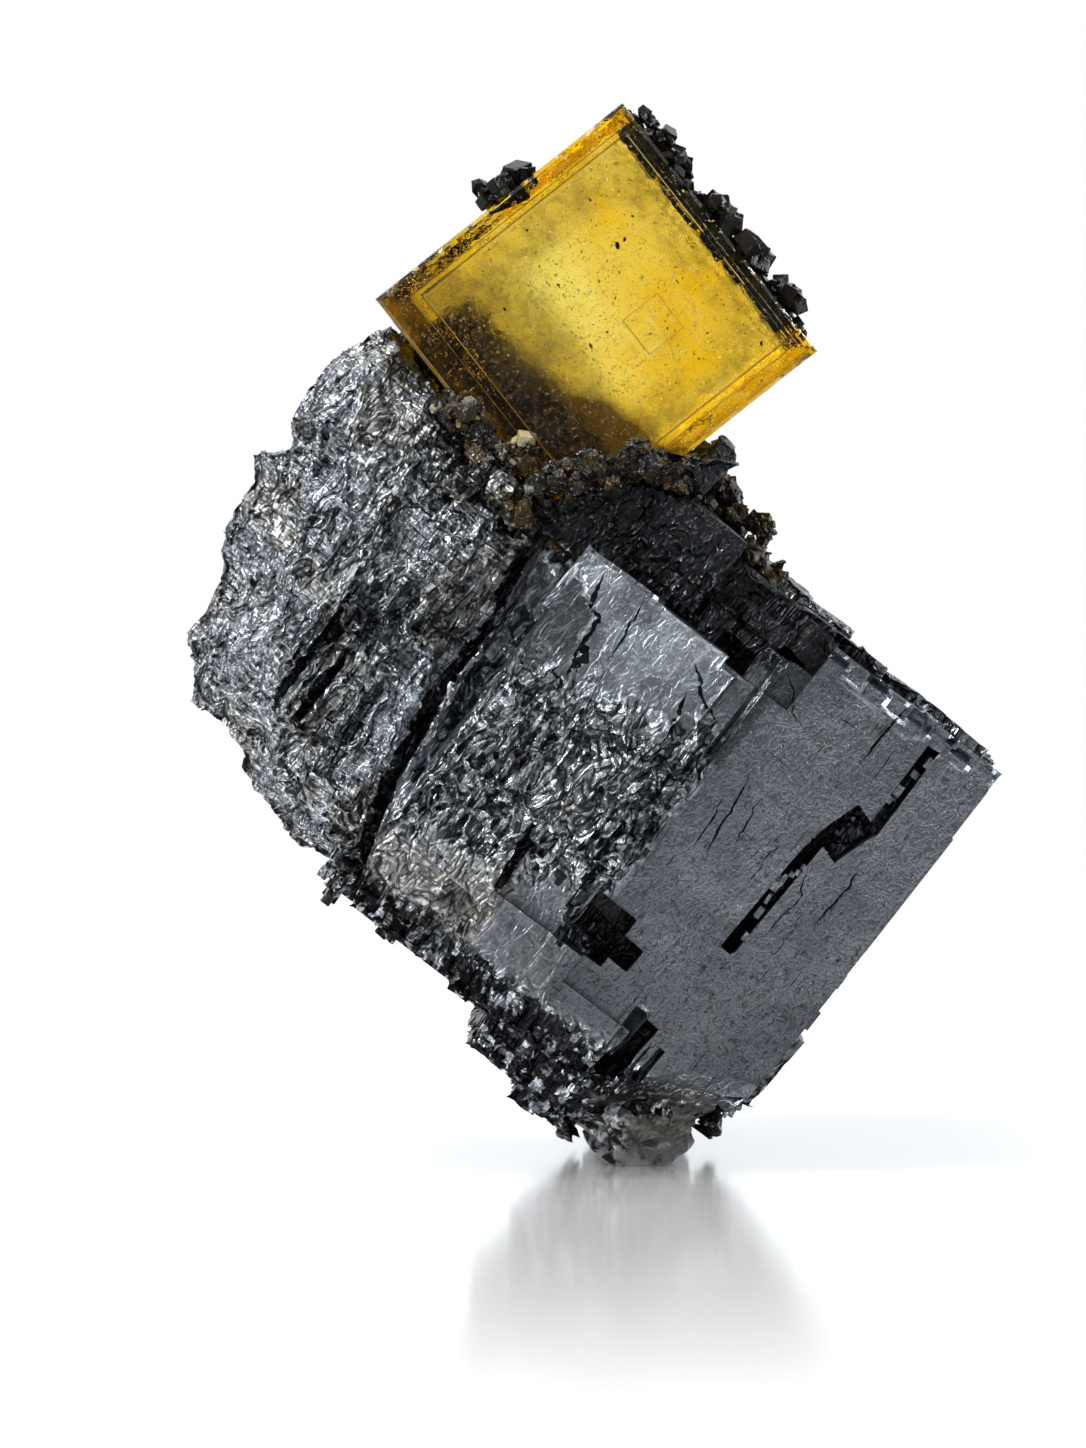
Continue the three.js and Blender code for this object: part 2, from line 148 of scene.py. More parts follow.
class Shop:
    """Makes the nodes of one material, or of the world."""

    def __init__(self, name: str, use: Use = Use.MATERIAL) -> None:
        """Starts an empty tree.

        Args:
            name: the name of the material or the world.
            use: which of the two it is.
        """
        shelf, last = use.value
        self.owner = getattr(bpy.data, shelf).new(name)
        self.owner.use_nodes = True
        self.tree = self.owner.node_tree
        self.tree.nodes.clear()
        self.output = self.tree.nodes.new(last)

    def node(
        self,
        kind: str,
        settings: dict | None = None,
        inputs: list | dict | None = None,
        out: int | str = 0,
    ) -> Socket:
        """Adds a node.

        Args:
            kind: the node's type name.
            settings: properties that are set first, such as a Math node's operation.
            inputs: values or sockets, as a list in order or by socket name.
            out: which output socket to return.

        Returns:
            The wrapped output socket.
        """
        made = self.tree.nodes.new(kind)
        for name, value in (settings or {}).items():
            setattr(made, name, value)
        pairs = enumerate(inputs) if isinstance(inputs, list) else (inputs or {}).items()
        for key, value in pairs:
            self.feed(made.inputs[key], value)
        return Socket(self, made.outputs[out])

    def feed(self, socket: bpy.types.NodeSocket, value: object) -> None:
        """Links a wrapped socket to an input, or sets the input's own value."""
        if isinstance(value, Socket):
            self.tree.links.new(value.socket, socket)
        elif socket.type == "RGBA" and len(value) == 3:
            socket.default_value = (*value, 1)
        else:
            socket.default_value = value

    def place(self, turn: float = 0.0, centre: Sequence[float] = (0, 0, 0)) -> Socket:
        """Returns object coordinates in millimetres, turned about Y.

        Args:
            turn: degrees that the pattern's first axis is turned down to the right.
            centre: the pattern's origin in metres.
        """
        coords = self.node("ShaderNodeTexCoord", out="Object")
        moved = self.node("ShaderNodeVectorMath", {"operation": "SUBTRACT"}, [coords, tuple(centre)])
        values = {"Vector": moved, "Rotation": (0, -math.radians(turn), 0), "Scale": [1 / MM] * 3}
        return self.node("ShaderNodeMapping", {"vector_type": "POINT"}, values)

    def parts(self, vector: Socket) -> list[Socket]:
        """Returns a vector's three numbers."""
        split = self.tree.nodes.new("ShaderNodeSeparateXYZ")
        self.tree.links.new(vector.socket, split.inputs[0])
        return [Socket(self, number) for number in split.outputs]

    def noise(
        self,
        vector: Socket,
        scale: float,
        detail: float = 4,
        roughness: float = 0.55,
        warp: float = 0,
    ) -> Socket:
        """Returns fractal noise from 0 to 1, about 0.5."""
        values = {"Vector": vector, "Scale": scale, "Detail": detail, "Roughness": roughness}
        return self.node("ShaderNodeTexNoise", None, values | {"Distortion": warp})

    def cells(self, vector: Socket, scale: float, metric: str = "EUCLIDEAN", out: str = "Distance") -> Socket:
        """Returns the distance or the colour of a pattern of random cells."""
        values = {"Vector": vector, "Scale": scale}
        return self.node("ShaderNodeTexVoronoi", {"distance": metric}, values, out)

    def mix(self, factor: Number, low: object, high: object) -> Socket:
        """Mixes two colours."""
        made = self.tree.nodes.new("ShaderNodeMix")
        made.data_type = "RGBA"
        for place, value in zip(MIX_COLOUR_INPUTS, (factor, low, high)):
            self.feed(made.inputs[place], value)
        return Socket(self, made.outputs[MIX_COLOUR_OUTPUT])

    def attribute(self, name: str) -> Socket:
        """Returns the number that a mesh keeps per point under a name."""
        settings = {"attribute_type": "GEOMETRY", "attribute_name": name}
        return self.node("ShaderNodeAttribute", settings, None, "Fac")

    def scale(self, vector: Socket, sizes: Sequence[float]) -> Socket:
        """Returns a place divided by the size of a pattern along each axis."""
        density = tuple(1 / size for size in sizes)
        return self.node("ShaderNodeVectorMath", {"operation": "MULTIPLY"}, [vector, density])

    def bump(
        self,
        height: Socket,
        depth: float,
        strength: float = 1.0,
        normal: Socket | None = None,
    ) -> Socket:
        """Returns a normal from a height.

        Args:
            height: the height socket, 0 to 1.
            depth: the height of 1, in metres.
            strength: how much of the tilt is used.
            normal: the normal that this adds to.
        """
        values = {"Height": height, "Distance": depth, "Strength": strength}
        if normal is not None:
            values["Normal"] = normal
        return self.node("ShaderNodeBump", None, values)

    def surface(self, **inputs: object) -> None:
        """Ends the material in one Principled shader with the given inputs, underscores for spaces."""
        shader = self.tree.nodes.new("ShaderNodeBsdfPrincipled")
        for name, value in inputs.items():
            self.feed(shader.inputs[name.replace("_", " ")], value)
        self.tree.links.new(shader.outputs[0], self.output.inputs["Surface"])


# Numbers over a surface


def smooth(low: float, high: float, values: np.ndarray) -> np.ndarray:
    """Returns a smooth step from 0 at low to 1 at high."""
    share = np.clip((values - low) / (high - low), 0, 1)
    return share * share * (3 - 2 * share)


def band(values: np.ndarray, low: float, high: float, soft: float) -> np.ndarray:
    """Returns 1 between two values and 0 outside, with soft ends."""
    return smooth(low - soft, low + soft, values) * (1 - smooth(high - soft, high + soft, values))


def near(across: np.ndarray, up: np.ndarray, spot: Sequence[float], reach: float) -> np.ndarray:
    """Returns 1 at a spot and less and less round it."""
    return np.exp(-((across - spot[0]) ** 2 + (up - spot[1]) ** 2) / reach ** 2)


class Noise:
    """Repeatable gradient noise and random cells in three dimensions."""

    def __init__(self, seed: int) -> None:
        """Shuffles the table of gradients."""
        rng = np.random.default_rng(seed)
        self.order = np.concatenate([rng.permutation(256)] * 2)
        slopes = rng.normal(size=(256, 3))
        self.slopes = slopes / np.linalg.norm(slopes, axis=1, keepdims=True)

    def _entry(self, cell: np.ndarray) -> np.ndarray:
        """Returns each cell's number from 0 to 255."""
        x, y, z = (cell[:, i] & 255 for i in range(3))
        return self.order[(self.order[(self.order[x] + y) & 255] + z) & 255]

    def smooth(self, points: np.ndarray) -> np.ndarray:
        """Returns smooth noise, about -0.7 to 0.7."""
        cell = np.floor(points).astype(int)
        part = points - cell
        ease = part ** 3 * (part * (part * 6 - 15) + 10)
        total = np.zeros(len(points))
        for corner in np.ndindex(2, 2, 2):
            step = np.array(corner)
            weight = np.prod(np.where(step, ease, 1 - ease), axis=1)
            slope = self.slopes[self._entry(cell + step)]
            total += weight * np.einsum("ij,ij->i", slope, part - step)
        return total

    def fractal(self, points: np.ndarray, octaves: int = 3) -> np.ndarray:
        """Returns several octaves of smooth noise, each half as strong as the one before."""
        total = np.zeros(len(points))
        for octave in range(octaves):
            total += 0.5 ** octave * self.smooth(points * 2.03 ** octave + 17.3 * octave)
        return total

    def bricks(self, points: np.ndarray, sizes: Sequence[float]) -> np.ndarray:
        """Returns a random number from 0 to 1 for each cell of a staggered brick pattern.

        Args:
            points: places in a crystal's own frame.
            sizes: a brick's length along each axis.
        """
        cell = np.floor(points / sizes).astype(int)
        shifted = points / sizes
        shifted[:, 0] += self.order[cell[:, 1] & 255] / 256 * 3
        shifted[:, 1] += self.order[(cell[:, 2] + 91) & 255] / 256 * 3
        return self._entry(np.floor(shifted).astype(int)) / 255


@dataclass(frozen=True)
class CrystalFrame:
    """A crystal's own axes: one down to the right, one down to the left and one straight away."""

    turn: float
    centre: tuple[float, float, float] = (0.0, 0.0, 0.0)

    def axes(self) -> np.ndarray:
        """Returns the three unit axes as rows."""
        angle = math.radians(self.turn)
        first = (math.cos(angle), 0, -math.sin(angle))
        second = (-math.sin(angle), 0, -math.cos(angle))
        return np.array([first, second, (0, 1, 0)])

    def local(self, points: np.ndarray) -> np.ndarray:
        """Returns places in the crystal's own axes."""
        return (points - np.array(self.centre)) @ self.axes().T

    def world(self, points: np.ndarray) -> np.ndarray:
        """Returns places in the specimen's frame."""
        return points @ self.axes() + np.array(self.centre)


GALENA_AXES = CrystalFrame(37.7)
FISSURE_AXES = CrystalFrame(30.0)
FISSURE_LINE = -0.0416
FLUORITE_AXES = CrystalFrame(51.7, (-0.0054, 0.0022, 0.0844))
HALF_EDGE = 15.7


# Modelling helpers


def only(made: bpy.types.Object) -> None:
    """Selects one object and makes it active."""
    bpy.ops.object.select_all(action="DESELECT")
    made.select_set(True)
    bpy.context.view_layer.objects.active = made


def apply_modifier(made: bpy.types.Object, kind: str, **settings: object) -> None:
    """Adds a modifier, sets it and applies it."""
    modifier = made.modifiers.new(kind.lower(), kind)
    for name, value in settings.items():
        setattr(modifier, name, value)
    only(made)
    bpy.ops.object.modifier_apply(modifier=modifier.name)


def remesh(
    made: bpy.types.Object,
    reach: float,
    cell: float,
    depth: int,
    sharpness: float = 1.0,
    tidy: bool = True,
) -> None:
    """Covers a mesh in small even faces that keep its edges.

    Args:
        made: the object.
        reach: its longest side.
        cell: the faces' length, in the same unit.
        depth: how many times the modifier halves its space.
        sharpness: how closely it follows the edges.
        tidy: whether small loose parts are dropped.
    """
    apply_modifier(
        made,
        "REMESH",
        mode="SHARP",
        octree_depth=depth,
        scale=min(0.98, reach / (cell * 2 ** depth)),
        sharpness=sharpness,
        use_remove_disconnected=tidy,
    )


def nodes_named(start: str) -> list[str]:
    """Returns the names of the CAD nodes that start in a given way."""
    return [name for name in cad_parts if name.startswith(start)]


def within_box(points: np.ndarray) -> np.ndarray:
    """Returns places in metres, kept inside the CAD model's box."""
    low, high = (np.array(corner) for corner in CAD_BOX)
    return np.clip(points, low, high)


def settle(piece: bpy.types.Object, node: str, angle: float = 0.0) -> None:
    """Ties a piece to the body, hides the CAD node that it stands for, and reports it.

    Args:
        piece: the object.
        node: the CAD node.
        angle: the degrees below which two faces are shaded as one, or 0 for flat faces.
    """
    if angle:
        only(piece)
        bpy.ops.object.shade_smooth_by_angle(angle=math.radians(angle))
    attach(piece, ROOT)
    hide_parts(node)
    LOG.info("%s: %d faces", piece.name, len(piece.data.polygons))


def copy_of_node(node_name: str, name: str) -> bpy.types.Object:
    """Returns a merged copy of a CAD node's mesh.

    Args:
        node_name: the CAD node.
        name: the copy's name.

    Returns:
        The new object, with its doubled points joined.
    """
    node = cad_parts[node_name]
    made = node.copy()
    made.data = node.data.copy()
    made.name = name
    made.data.name = name
    made.data.materials.clear()
    bpy.context.scene.collection.objects.link(made)
    only(made)
    bpy.ops.object.mode_set(mode="EDIT")
    bpy.ops.mesh.select_all(action="SELECT")
    bpy.ops.mesh.remove_doubles(threshold=MERGE_DISTANCE)
    bpy.ops.object.mode_set(mode="OBJECT")
    return made


def places(made: bpy.types.Object) -> np.ndarray:
    """Returns a mesh's points."""
    flat = np.empty(len(made.data.vertices) * 3)
    made.data.vertices.foreach_get("co", flat)
    return flat.reshape(-1, 3)


def directions(made: bpy.types.Object) -> np.ndarray:
    """Returns the normals at a mesh's points."""
    flat = np.empty(len(made.data.vertices) * 3)
    made.data.vertex_normals.foreach_get("vector", flat)
    return flat.reshape(-1, 3)


def move_to(made: bpy.types.Object, points: np.ndarray) -> None:
    """Moves a mesh's points."""
    made.data.vertices.foreach_set("co", points.reshape(-1))
    made.data.update()


def paint(made: bpy.types.Object, name: str, values: np.ndarray) -> None:
    """Keeps a number per point in the mesh, which a material can read."""
    layer = made.data.attributes.new(name, "FLOAT", "POINT")
    layer.data.foreach_set("value", values.astype(np.float32))


def mesh_object(
    name: str,
    points: np.ndarray,
    faces: list,
    material: bpy.types.Material,
) -> bpy.types.Object:
    """Makes an object of points and faces.

    Args:
        name: the object's name.
        points: its places.
        faces: the point numbers of each face.
        material: what it is made of.
    """
    mesh = bpy.data.meshes.new(name)
    mesh.from_pydata([tuple(p) for p in points], [], faces)
    mesh.update()
    mesh.materials.append(material)
    made = bpy.data.objects.new(name, mesh)
    bpy.context.scene.collection.objects.link(made)
    return made


@dataclass
class Template:
    """A small shape that is modelled once and copied many times into one mesh."""

    points: np.ndarray
    faces: list[tuple[int, ...]]

    @classmethod
    def cube(cls, bevel: float = 0.0) -> "Template":
        """Models a unit cube, with its edges bevelled if asked."""
        bpy.ops.object.select_all(action="DESELECT")
        bpy.ops.mesh.primitive_cube_add(size=1)
        made = bpy.context.object
        if bevel:
            bpy.ops.object.mode_set(mode="EDIT")
            bpy.ops.mesh.select_all(action="SELECT")
            bpy.ops.mesh.bevel(offset=bevel, segments=1)
            bpy.ops.object.mode_set(mode="OBJECT")
        return cls.take(made)

    @classmethod
    def gem(cls) -> "Template":
        """Models a many-faced unit crystal."""
        bpy.ops.object.select_all(action="DESELECT")
        bpy.ops.mesh.primitive_ico_sphere_add(subdivisions=1, radius=0.5)
        return cls.take(bpy.context.object)

    @classmethod
    def shard(cls, rng: np.random.Generator) -> "Template":
        """Models an irregular sharp unit crystal."""
        made = cls.gem()
        made.points = made.points * rng.uniform(0.72, 1.12, (len(made.points), 1))
        return made

    @classmethod
    def take(cls, made: bpy.types.Object) -> "Template":
        """Reads an object's mesh and removes the object."""
        points = places(made)
        faces = [tuple(face.vertices) for face in made.data.polygons]
        bpy.data.objects.remove(made)
        return cls(points, faces)


class Pile:
    """Many copies of templates, gathered into one mesh."""

    def __init__(self) -> None:
        """Starts empty."""
        self.points: list[np.ndarray] = []
        self.faces: list[tuple[int, ...]] = []
        self.count = 0

    def add(self, template: Template, centre: np.ndarray, axes: np.ndarray, sizes: Sequence[float]) -> None:
        """Adds one copy.

        Args:
            template: the shape.
            centre: its place.
            axes: its three unit axes as rows.
            sizes: its length along each axis.
        """
        placed = (template.points * np.array(sizes)) @ axes + centre
        self.points.append(placed)
        self.faces.extend(tuple(i + self.count for i in face) for face in template.faces)
        self.count += len(placed)

    def finish(self, name: str, material: bpy.types.Material) -> bpy.types.Object:
        """Makes the mesh object, kept inside the CAD model's box."""
        return mesh_object(name, within_box(np.concatenate(self.points)), self.faces, material)


@dataclass(frozen=True)
class ChipStyle:
    """How a pile of cleavage blocks looks, with a value for each of the ZONES that the metal reads."""

    name: str
    count: int
    sizes: tuple[tuple[float, float], ...]
    tilt: float
    proud: float
    zone: tuple[float, ...] = (0.0, 0.55, 0.45, 0.0, 0.0, 0.0, 0.0)


def seats(
    made: bpy.types.Object,
    weights: np.ndarray,
    count: int,
    rng: np.random.Generator,
) -> tuple[np.ndarray, np.ndarray]:
    """Picks points of a mesh at random.

    Args:
        made: the object.
        weights: how likely each of its points is.
        count: how many are picked.
        rng: the source of chance.

    Returns:
        The places and the directions that the surface faces there.
    """
    chances = np.clip(weights, 0, None)
    picks = rng.choice(len(weights), count, replace=False, p=chances / chances.sum())
    return places(made)[picks], directions(made)[picks]


def tilted(axes: np.ndarray, rng: np.random.Generator, degrees: Sequence[float]) -> np.ndarray:
    """Returns axes turned by random angles about each of them."""
    angles = np.radians([rng.normal(0, d) for d in degrees])
    about_x, about_y, about_z = (Matrix.Rotation(angle, 3, axis) for angle, axis in zip(angles, "XYZ"))
    return np.array(about_x @ about_y @ about_z) @ axes


def tumbled(rng: np.random.Generator) -> np.ndarray:
    """Returns axes that point anywhere."""
    return tilted(np.eye(3), rng, (60, 60, 60))


# Studio


@dataclass
class Studio:
    """The pale floor, soft lights, world and camera.

    The camera looks nearly level at the specimen, a little from above, as the photograph does.
    """

    aim: tuple[float, float, float] = (-0.0107, -0.012, 0.0446)
    distance: float = 0.6
    elevation: float = 4.0
    view_height: float = 0.1448
    floor_span: float = 0.9
    floor_gloss: float = 0.72
    room_level: float = 0.10
    sensor_width: float = 36
    lights: tuple[tuple, ...] = (
        ("top_softbox", (-0.15, -0.05, 0.75), (0.6, 0.4), 7),
        ("left_softbox", (-0.5, -0.3, 0.42), (0.12, 0.2), 5),
        ("right_strip", (0.55, -0.05, 0.3), (0.06, 0.3), 2),
    )

    def camera(self) -> None:
        """Adds the camera and makes it the scene's own."""
        data = bpy.data.cameras.new("camera")
        data.sensor_width = self.sensor_width
        data.lens = self.sensor_width * self.distance / self.view_height
        data.clip_start, data.clip_end = 0.01, 50
        made = bpy.data.objects.new("camera", data)
        bpy.context.scene.collection.objects.link(made)
        rise = math.radians(self.elevation)
        back = Vector((0, -math.cos(rise), math.sin(rise)))
        made.location = Vector(self.aim) + back * self.distance
        made.rotation_euler = (-back).to_track_quat("-Z", "Y").to_euler()
        bpy.context.scene.camera = made

    def floor(self) -> None:
        """Adds the pale floor, which shines round the specimen and less further off."""
        bpy.ops.object.select_all(action="DESELECT")
        bpy.ops.mesh.primitive_plane_add(size=self.floor_span, location=(0, 0, -0.00002))
        plane = bpy.context.object
        plane.name = "floor"
        shop = Shop("floor")
        coords = shop.node("ShaderNodeTexCoord", out="Object")
        away = shop.node("ShaderNodeVectorMath", {"operation": "LENGTH"}, [coords], out="Value")
        share = away.ramp(0.27, 0.04) * self.floor_gloss
        matt = shop.node("ShaderNodeBsdfDiffuse", None, {"Color": (0.6, 0.6, 0.6)})
        gloss = shop.node("ShaderNodeBsdfGlossy", None, {"Color": (1, 1, 1), "Roughness": 0.14})
        both = shop.node("ShaderNodeMixShader", None, [share, matt, gloss])
        clear = shop.node("ShaderNodeBsdfTransparent", None, {"Color": (1, 1, 1)})
        faded = shop.node("ShaderNodeMixShader", None, [away.ramp(0.16, 0.33), both, clear])
        shop.tree.links.new(faded.socket, shop.output.inputs["Surface"])
        plane.data.materials.append(shop.owner)

    def light(self, name: str, spot: Sequence[float], size: Sequence[float], power: float) -> None:
        """Adds one soft white rectangular light that faces the specimen.

        Args:
            name: the light's name.
            spot: its place.
            size: its width and height.
            power: in watts.
        """
        data = bpy.data.lights.new(name, "AREA")
        data.shape = "RECTANGLE"
        data.size, data.size_y = size
        data.energy = power
        made = bpy.data.objects.new(name, data)
        bpy.context.scene.collection.objects.link(made)
        made.location = spot
        towards = Vector((-0.005, 0, 0.05)) - Vector(spot)
        made.rotation_euler = towards.to_track_quat("-Z", "Y").to_euler()

    def world(self) -> None:
        """Sets a dim room that metal mirrors, and a white backdrop that everything else sees."""
        room = Shop("studio", Use.WORLD)
        across, away, up = room.parts(room.node("ShaderNodeTexCoord", out="Generated"))
        ceiling = up.ramp(0.08, 0.6) * 0.8
        left = (across * -1).ramp(0.25, 0.95) * 0.3
        backdrop = away.ramp(0.35, 0.9)
        dim = self.room_level + ceiling + left + backdrop
        shade = room.node("ShaderNodeBackground", None, {"Color": (0.93, 0.965, 1.0), "Strength": dim})
        white = room.node("ShaderNodeBackground", None, {"Color": (1, 1, 1), "Strength": 1.0})
        glossy = room.node("ShaderNodeLightPath", out="Is Glossy Ray")
        passing = room.node("ShaderNodeLightPath", out="Is Transmission Ray")
        both = room.node("ShaderNodeMixShader", None, [glossy * (1 - passing), white, shade])
        room.tree.links.new(both.socket, room.output.inputs["Surface"])
        bpy.context.scene.world = room.owner

    def build(self) -> None:
        """Adds everything round the specimen."""
        bpy.context.scene.view_settings.view_transform = "Standard"
        self.camera()
        self.floor()
        self.world()
        for name, spot, size, power in self.lights:
            self.light(name, spot, size, power)


# Finishes


@dataclass(frozen=True)
class GalenaFinish:
    """Lead-grey metal: smooth cleavage faces, lamellae and small rectangular steps, with brown stains.

    It reads the zones that the galena's meshes keep as attributes. Painted highlights brighten the ridge
    crests, glinting facets and the upper plate, and painted shade darkens the crevices, the recess zone and
    some facets of the lower zone.
    """

    tone: Colour = (0.36, 0.385, 0.415)
    dark: Colour = (0.15, 0.168, 0.19)
    # the tone of the painted highlights
    bright: Colour = (0.62, 0.67, 0.73)
    brown: Colour = (0.27, 0.245, 0.19)
    # the dark of etch lines and of the painted shade in crevices and recesses; black below is painted shade on
    # lower facets
    dark_and_shade: Colour = (0.022, 0.023, 0.025)
    black: Colour = (0.008, 0.008, 0.009)

    def make(self) -> bpy.types.Material:
        """Returns the material."""
        shop = Shop("galena")
        place = shop.place(GALENA_AXES.turn)
        calm, left = shop.attribute("calm"), shop.attribute("left")
        recess, plate, lens = (shop.attribute(name) for name in ("recess", "plate", "lens"))
        lower = shop.attribute("lower")
        rough = 1 - calm
        cloud = shop.noise(shop.scale(place, (7, 7, 7)), 1, 2)
        wave = shop.noise(shop.scale(place, (1.6, 2.0, 4.0)), 1, 2, 0.5, 0.8)
        swirl = shop.noise(shop.scale(place, (3.4, 4.4, 5.0)), 1, 2, 0.5, 0.5)
        pads = (wave * 2 - 1).abs().ramp(0.0, 0.20)
        ridges = (swirl * 9).pingpong(0.5) * 2
        tangle = (wave * 7).pingpong(0.5) * 2
        stria = shop.noise(shop.scale(place, (2.6, 1.2, 0.42)), 1, 2, 0.5, 0.5)
        combed = (left * 0.7 + lens * 0.5 + rough * 0.3) * swirl.ramp(0.36, 0.56)
        leaves = (ridges * 0.6 + tangle * 0.4) * (1 - combed * 0.6) + stria.ramp(0.36, 0.64) * combed * 0.6
        facets = shop.cells(shop.scale(place, (1.1, 1.0, 1.7)), 1, "CHEBYCHEV", "Color")
        flakes = shop.cells(shop.scale(place, (0.75, 0.62, 1.2)), 1, "CHEBYCHEV", "Color")
        pits = shop.noise(place, 4, 1).ramp(0.66, 0.72)
        streaks = shop.noise(shop.scale(place, (0.35, 5.0, 1.0)), 1, 3, 0.6)
        etch = (shop.noise(shop.scale(place, (1.3, 1.3, 1.3)), 1, 2, 0.5, 0.6) * 6).pingpong(0.5) * 2
        steps = shop.bump((pads * 0.6 + facets * 0.35) * (rough * 0.97 + 0.03), 0.0006, 1.0)
        lines = shop.bump(leaves * (rough * 0.95 + 0.05) + etch * calm * 0.07, 0.00026, 1.0, steps)
        normal = shop.bump(cloud + streaks * 0.25 * calm - pits * 0.06 * calm, 0.0005, 0.6, lines)
        gaps = (1 - pads) * 0.95 + ridges.ramp(0.42, 0.12) * 0.9 + tangle.ramp(0.36, 0.08) * 0.75
        gaps = gaps * (1 - combed * 0.65) + stria.ramp(0.44, 0.34) * combed * 0.7
        shaded_facets = lower * (flakes * 0.8 + cloud * 0.2).ramp(0.36, 0.42)
        glint = lower * flakes.ramp(0.22, 0.14) * (0.4 + ridges * 0.5)
        crevice_shade = gaps * rough
        crest_highlight = leaves.ramp(0.60, 0.86) * rough * (0.5 + cloud.ramp(0.42, 0.6) * 0.5)
        browning = left * cloud.ramp(0.45, 0.62) * 0.6 + lens * 0.45
        browning = browning + (rough - left) * cloud.ramp(0.55, 0.7) * 0.5
        tone = shop.mix(cloud.ramp(0.35, 0.65) * 0.3 + calm * 0.7 + combed * 0.45, self.tone, self.dark)
        height = shop.parts(shop.place())[2]
        # dark etch lines and streaks on the calm faces, and darker towards the bottom
        etch_and_low_darkening = etch.ramp(0.30, 0.0) * 0.45 + streaks.ramp(0.52, 0.7) * 0.35 + height.ramp(40, 12) * 0.3
        tone = shop.mix(calm * etch_and_low_darkening, tone, self.dark_and_shade)
        # painted highlight: the upper plate is mixed towards the bright tone
        tone = shop.mix(plate * (0.05 + 0.5 * cloud.ramp(0.40, 0.6)), tone, self.bright)
        tone = shop.mix(browning, tone, self.brown)
        # painted highlight: the ridge crests are mixed towards the bright tone
        tone = shop.mix(crest_highlight * (1 - recess), tone, self.bright)
        # painted shade: the gaps between the ridges are darkened
        tone = shop.mix(crevice_shade, tone, self.dark_and_shade)
        # painted highlight: some facets of the lower zone are mixed towards the bright tone
        tone = shop.mix(glint, tone, self.bright)
        # painted shade: some facets of the lower zone are painted black
        tone = shop.mix(shaded_facets, tone, self.black)
        # painted shade: the recess zone is mixed towards the dark tone
        tone = shop.mix(recess * (1 - crest_highlight * 0.3), tone, self.dark_and_shade)
        gloss = 0.20 + 0.12 * cloud + browning * 0.10 + crevice_shade * 0.2 + pits * 0.1 + calm * 0.06
        shop.surface(Base_Color=tone, Roughness=gloss, Metallic=1.0, Normal=normal)
        return shop.owner


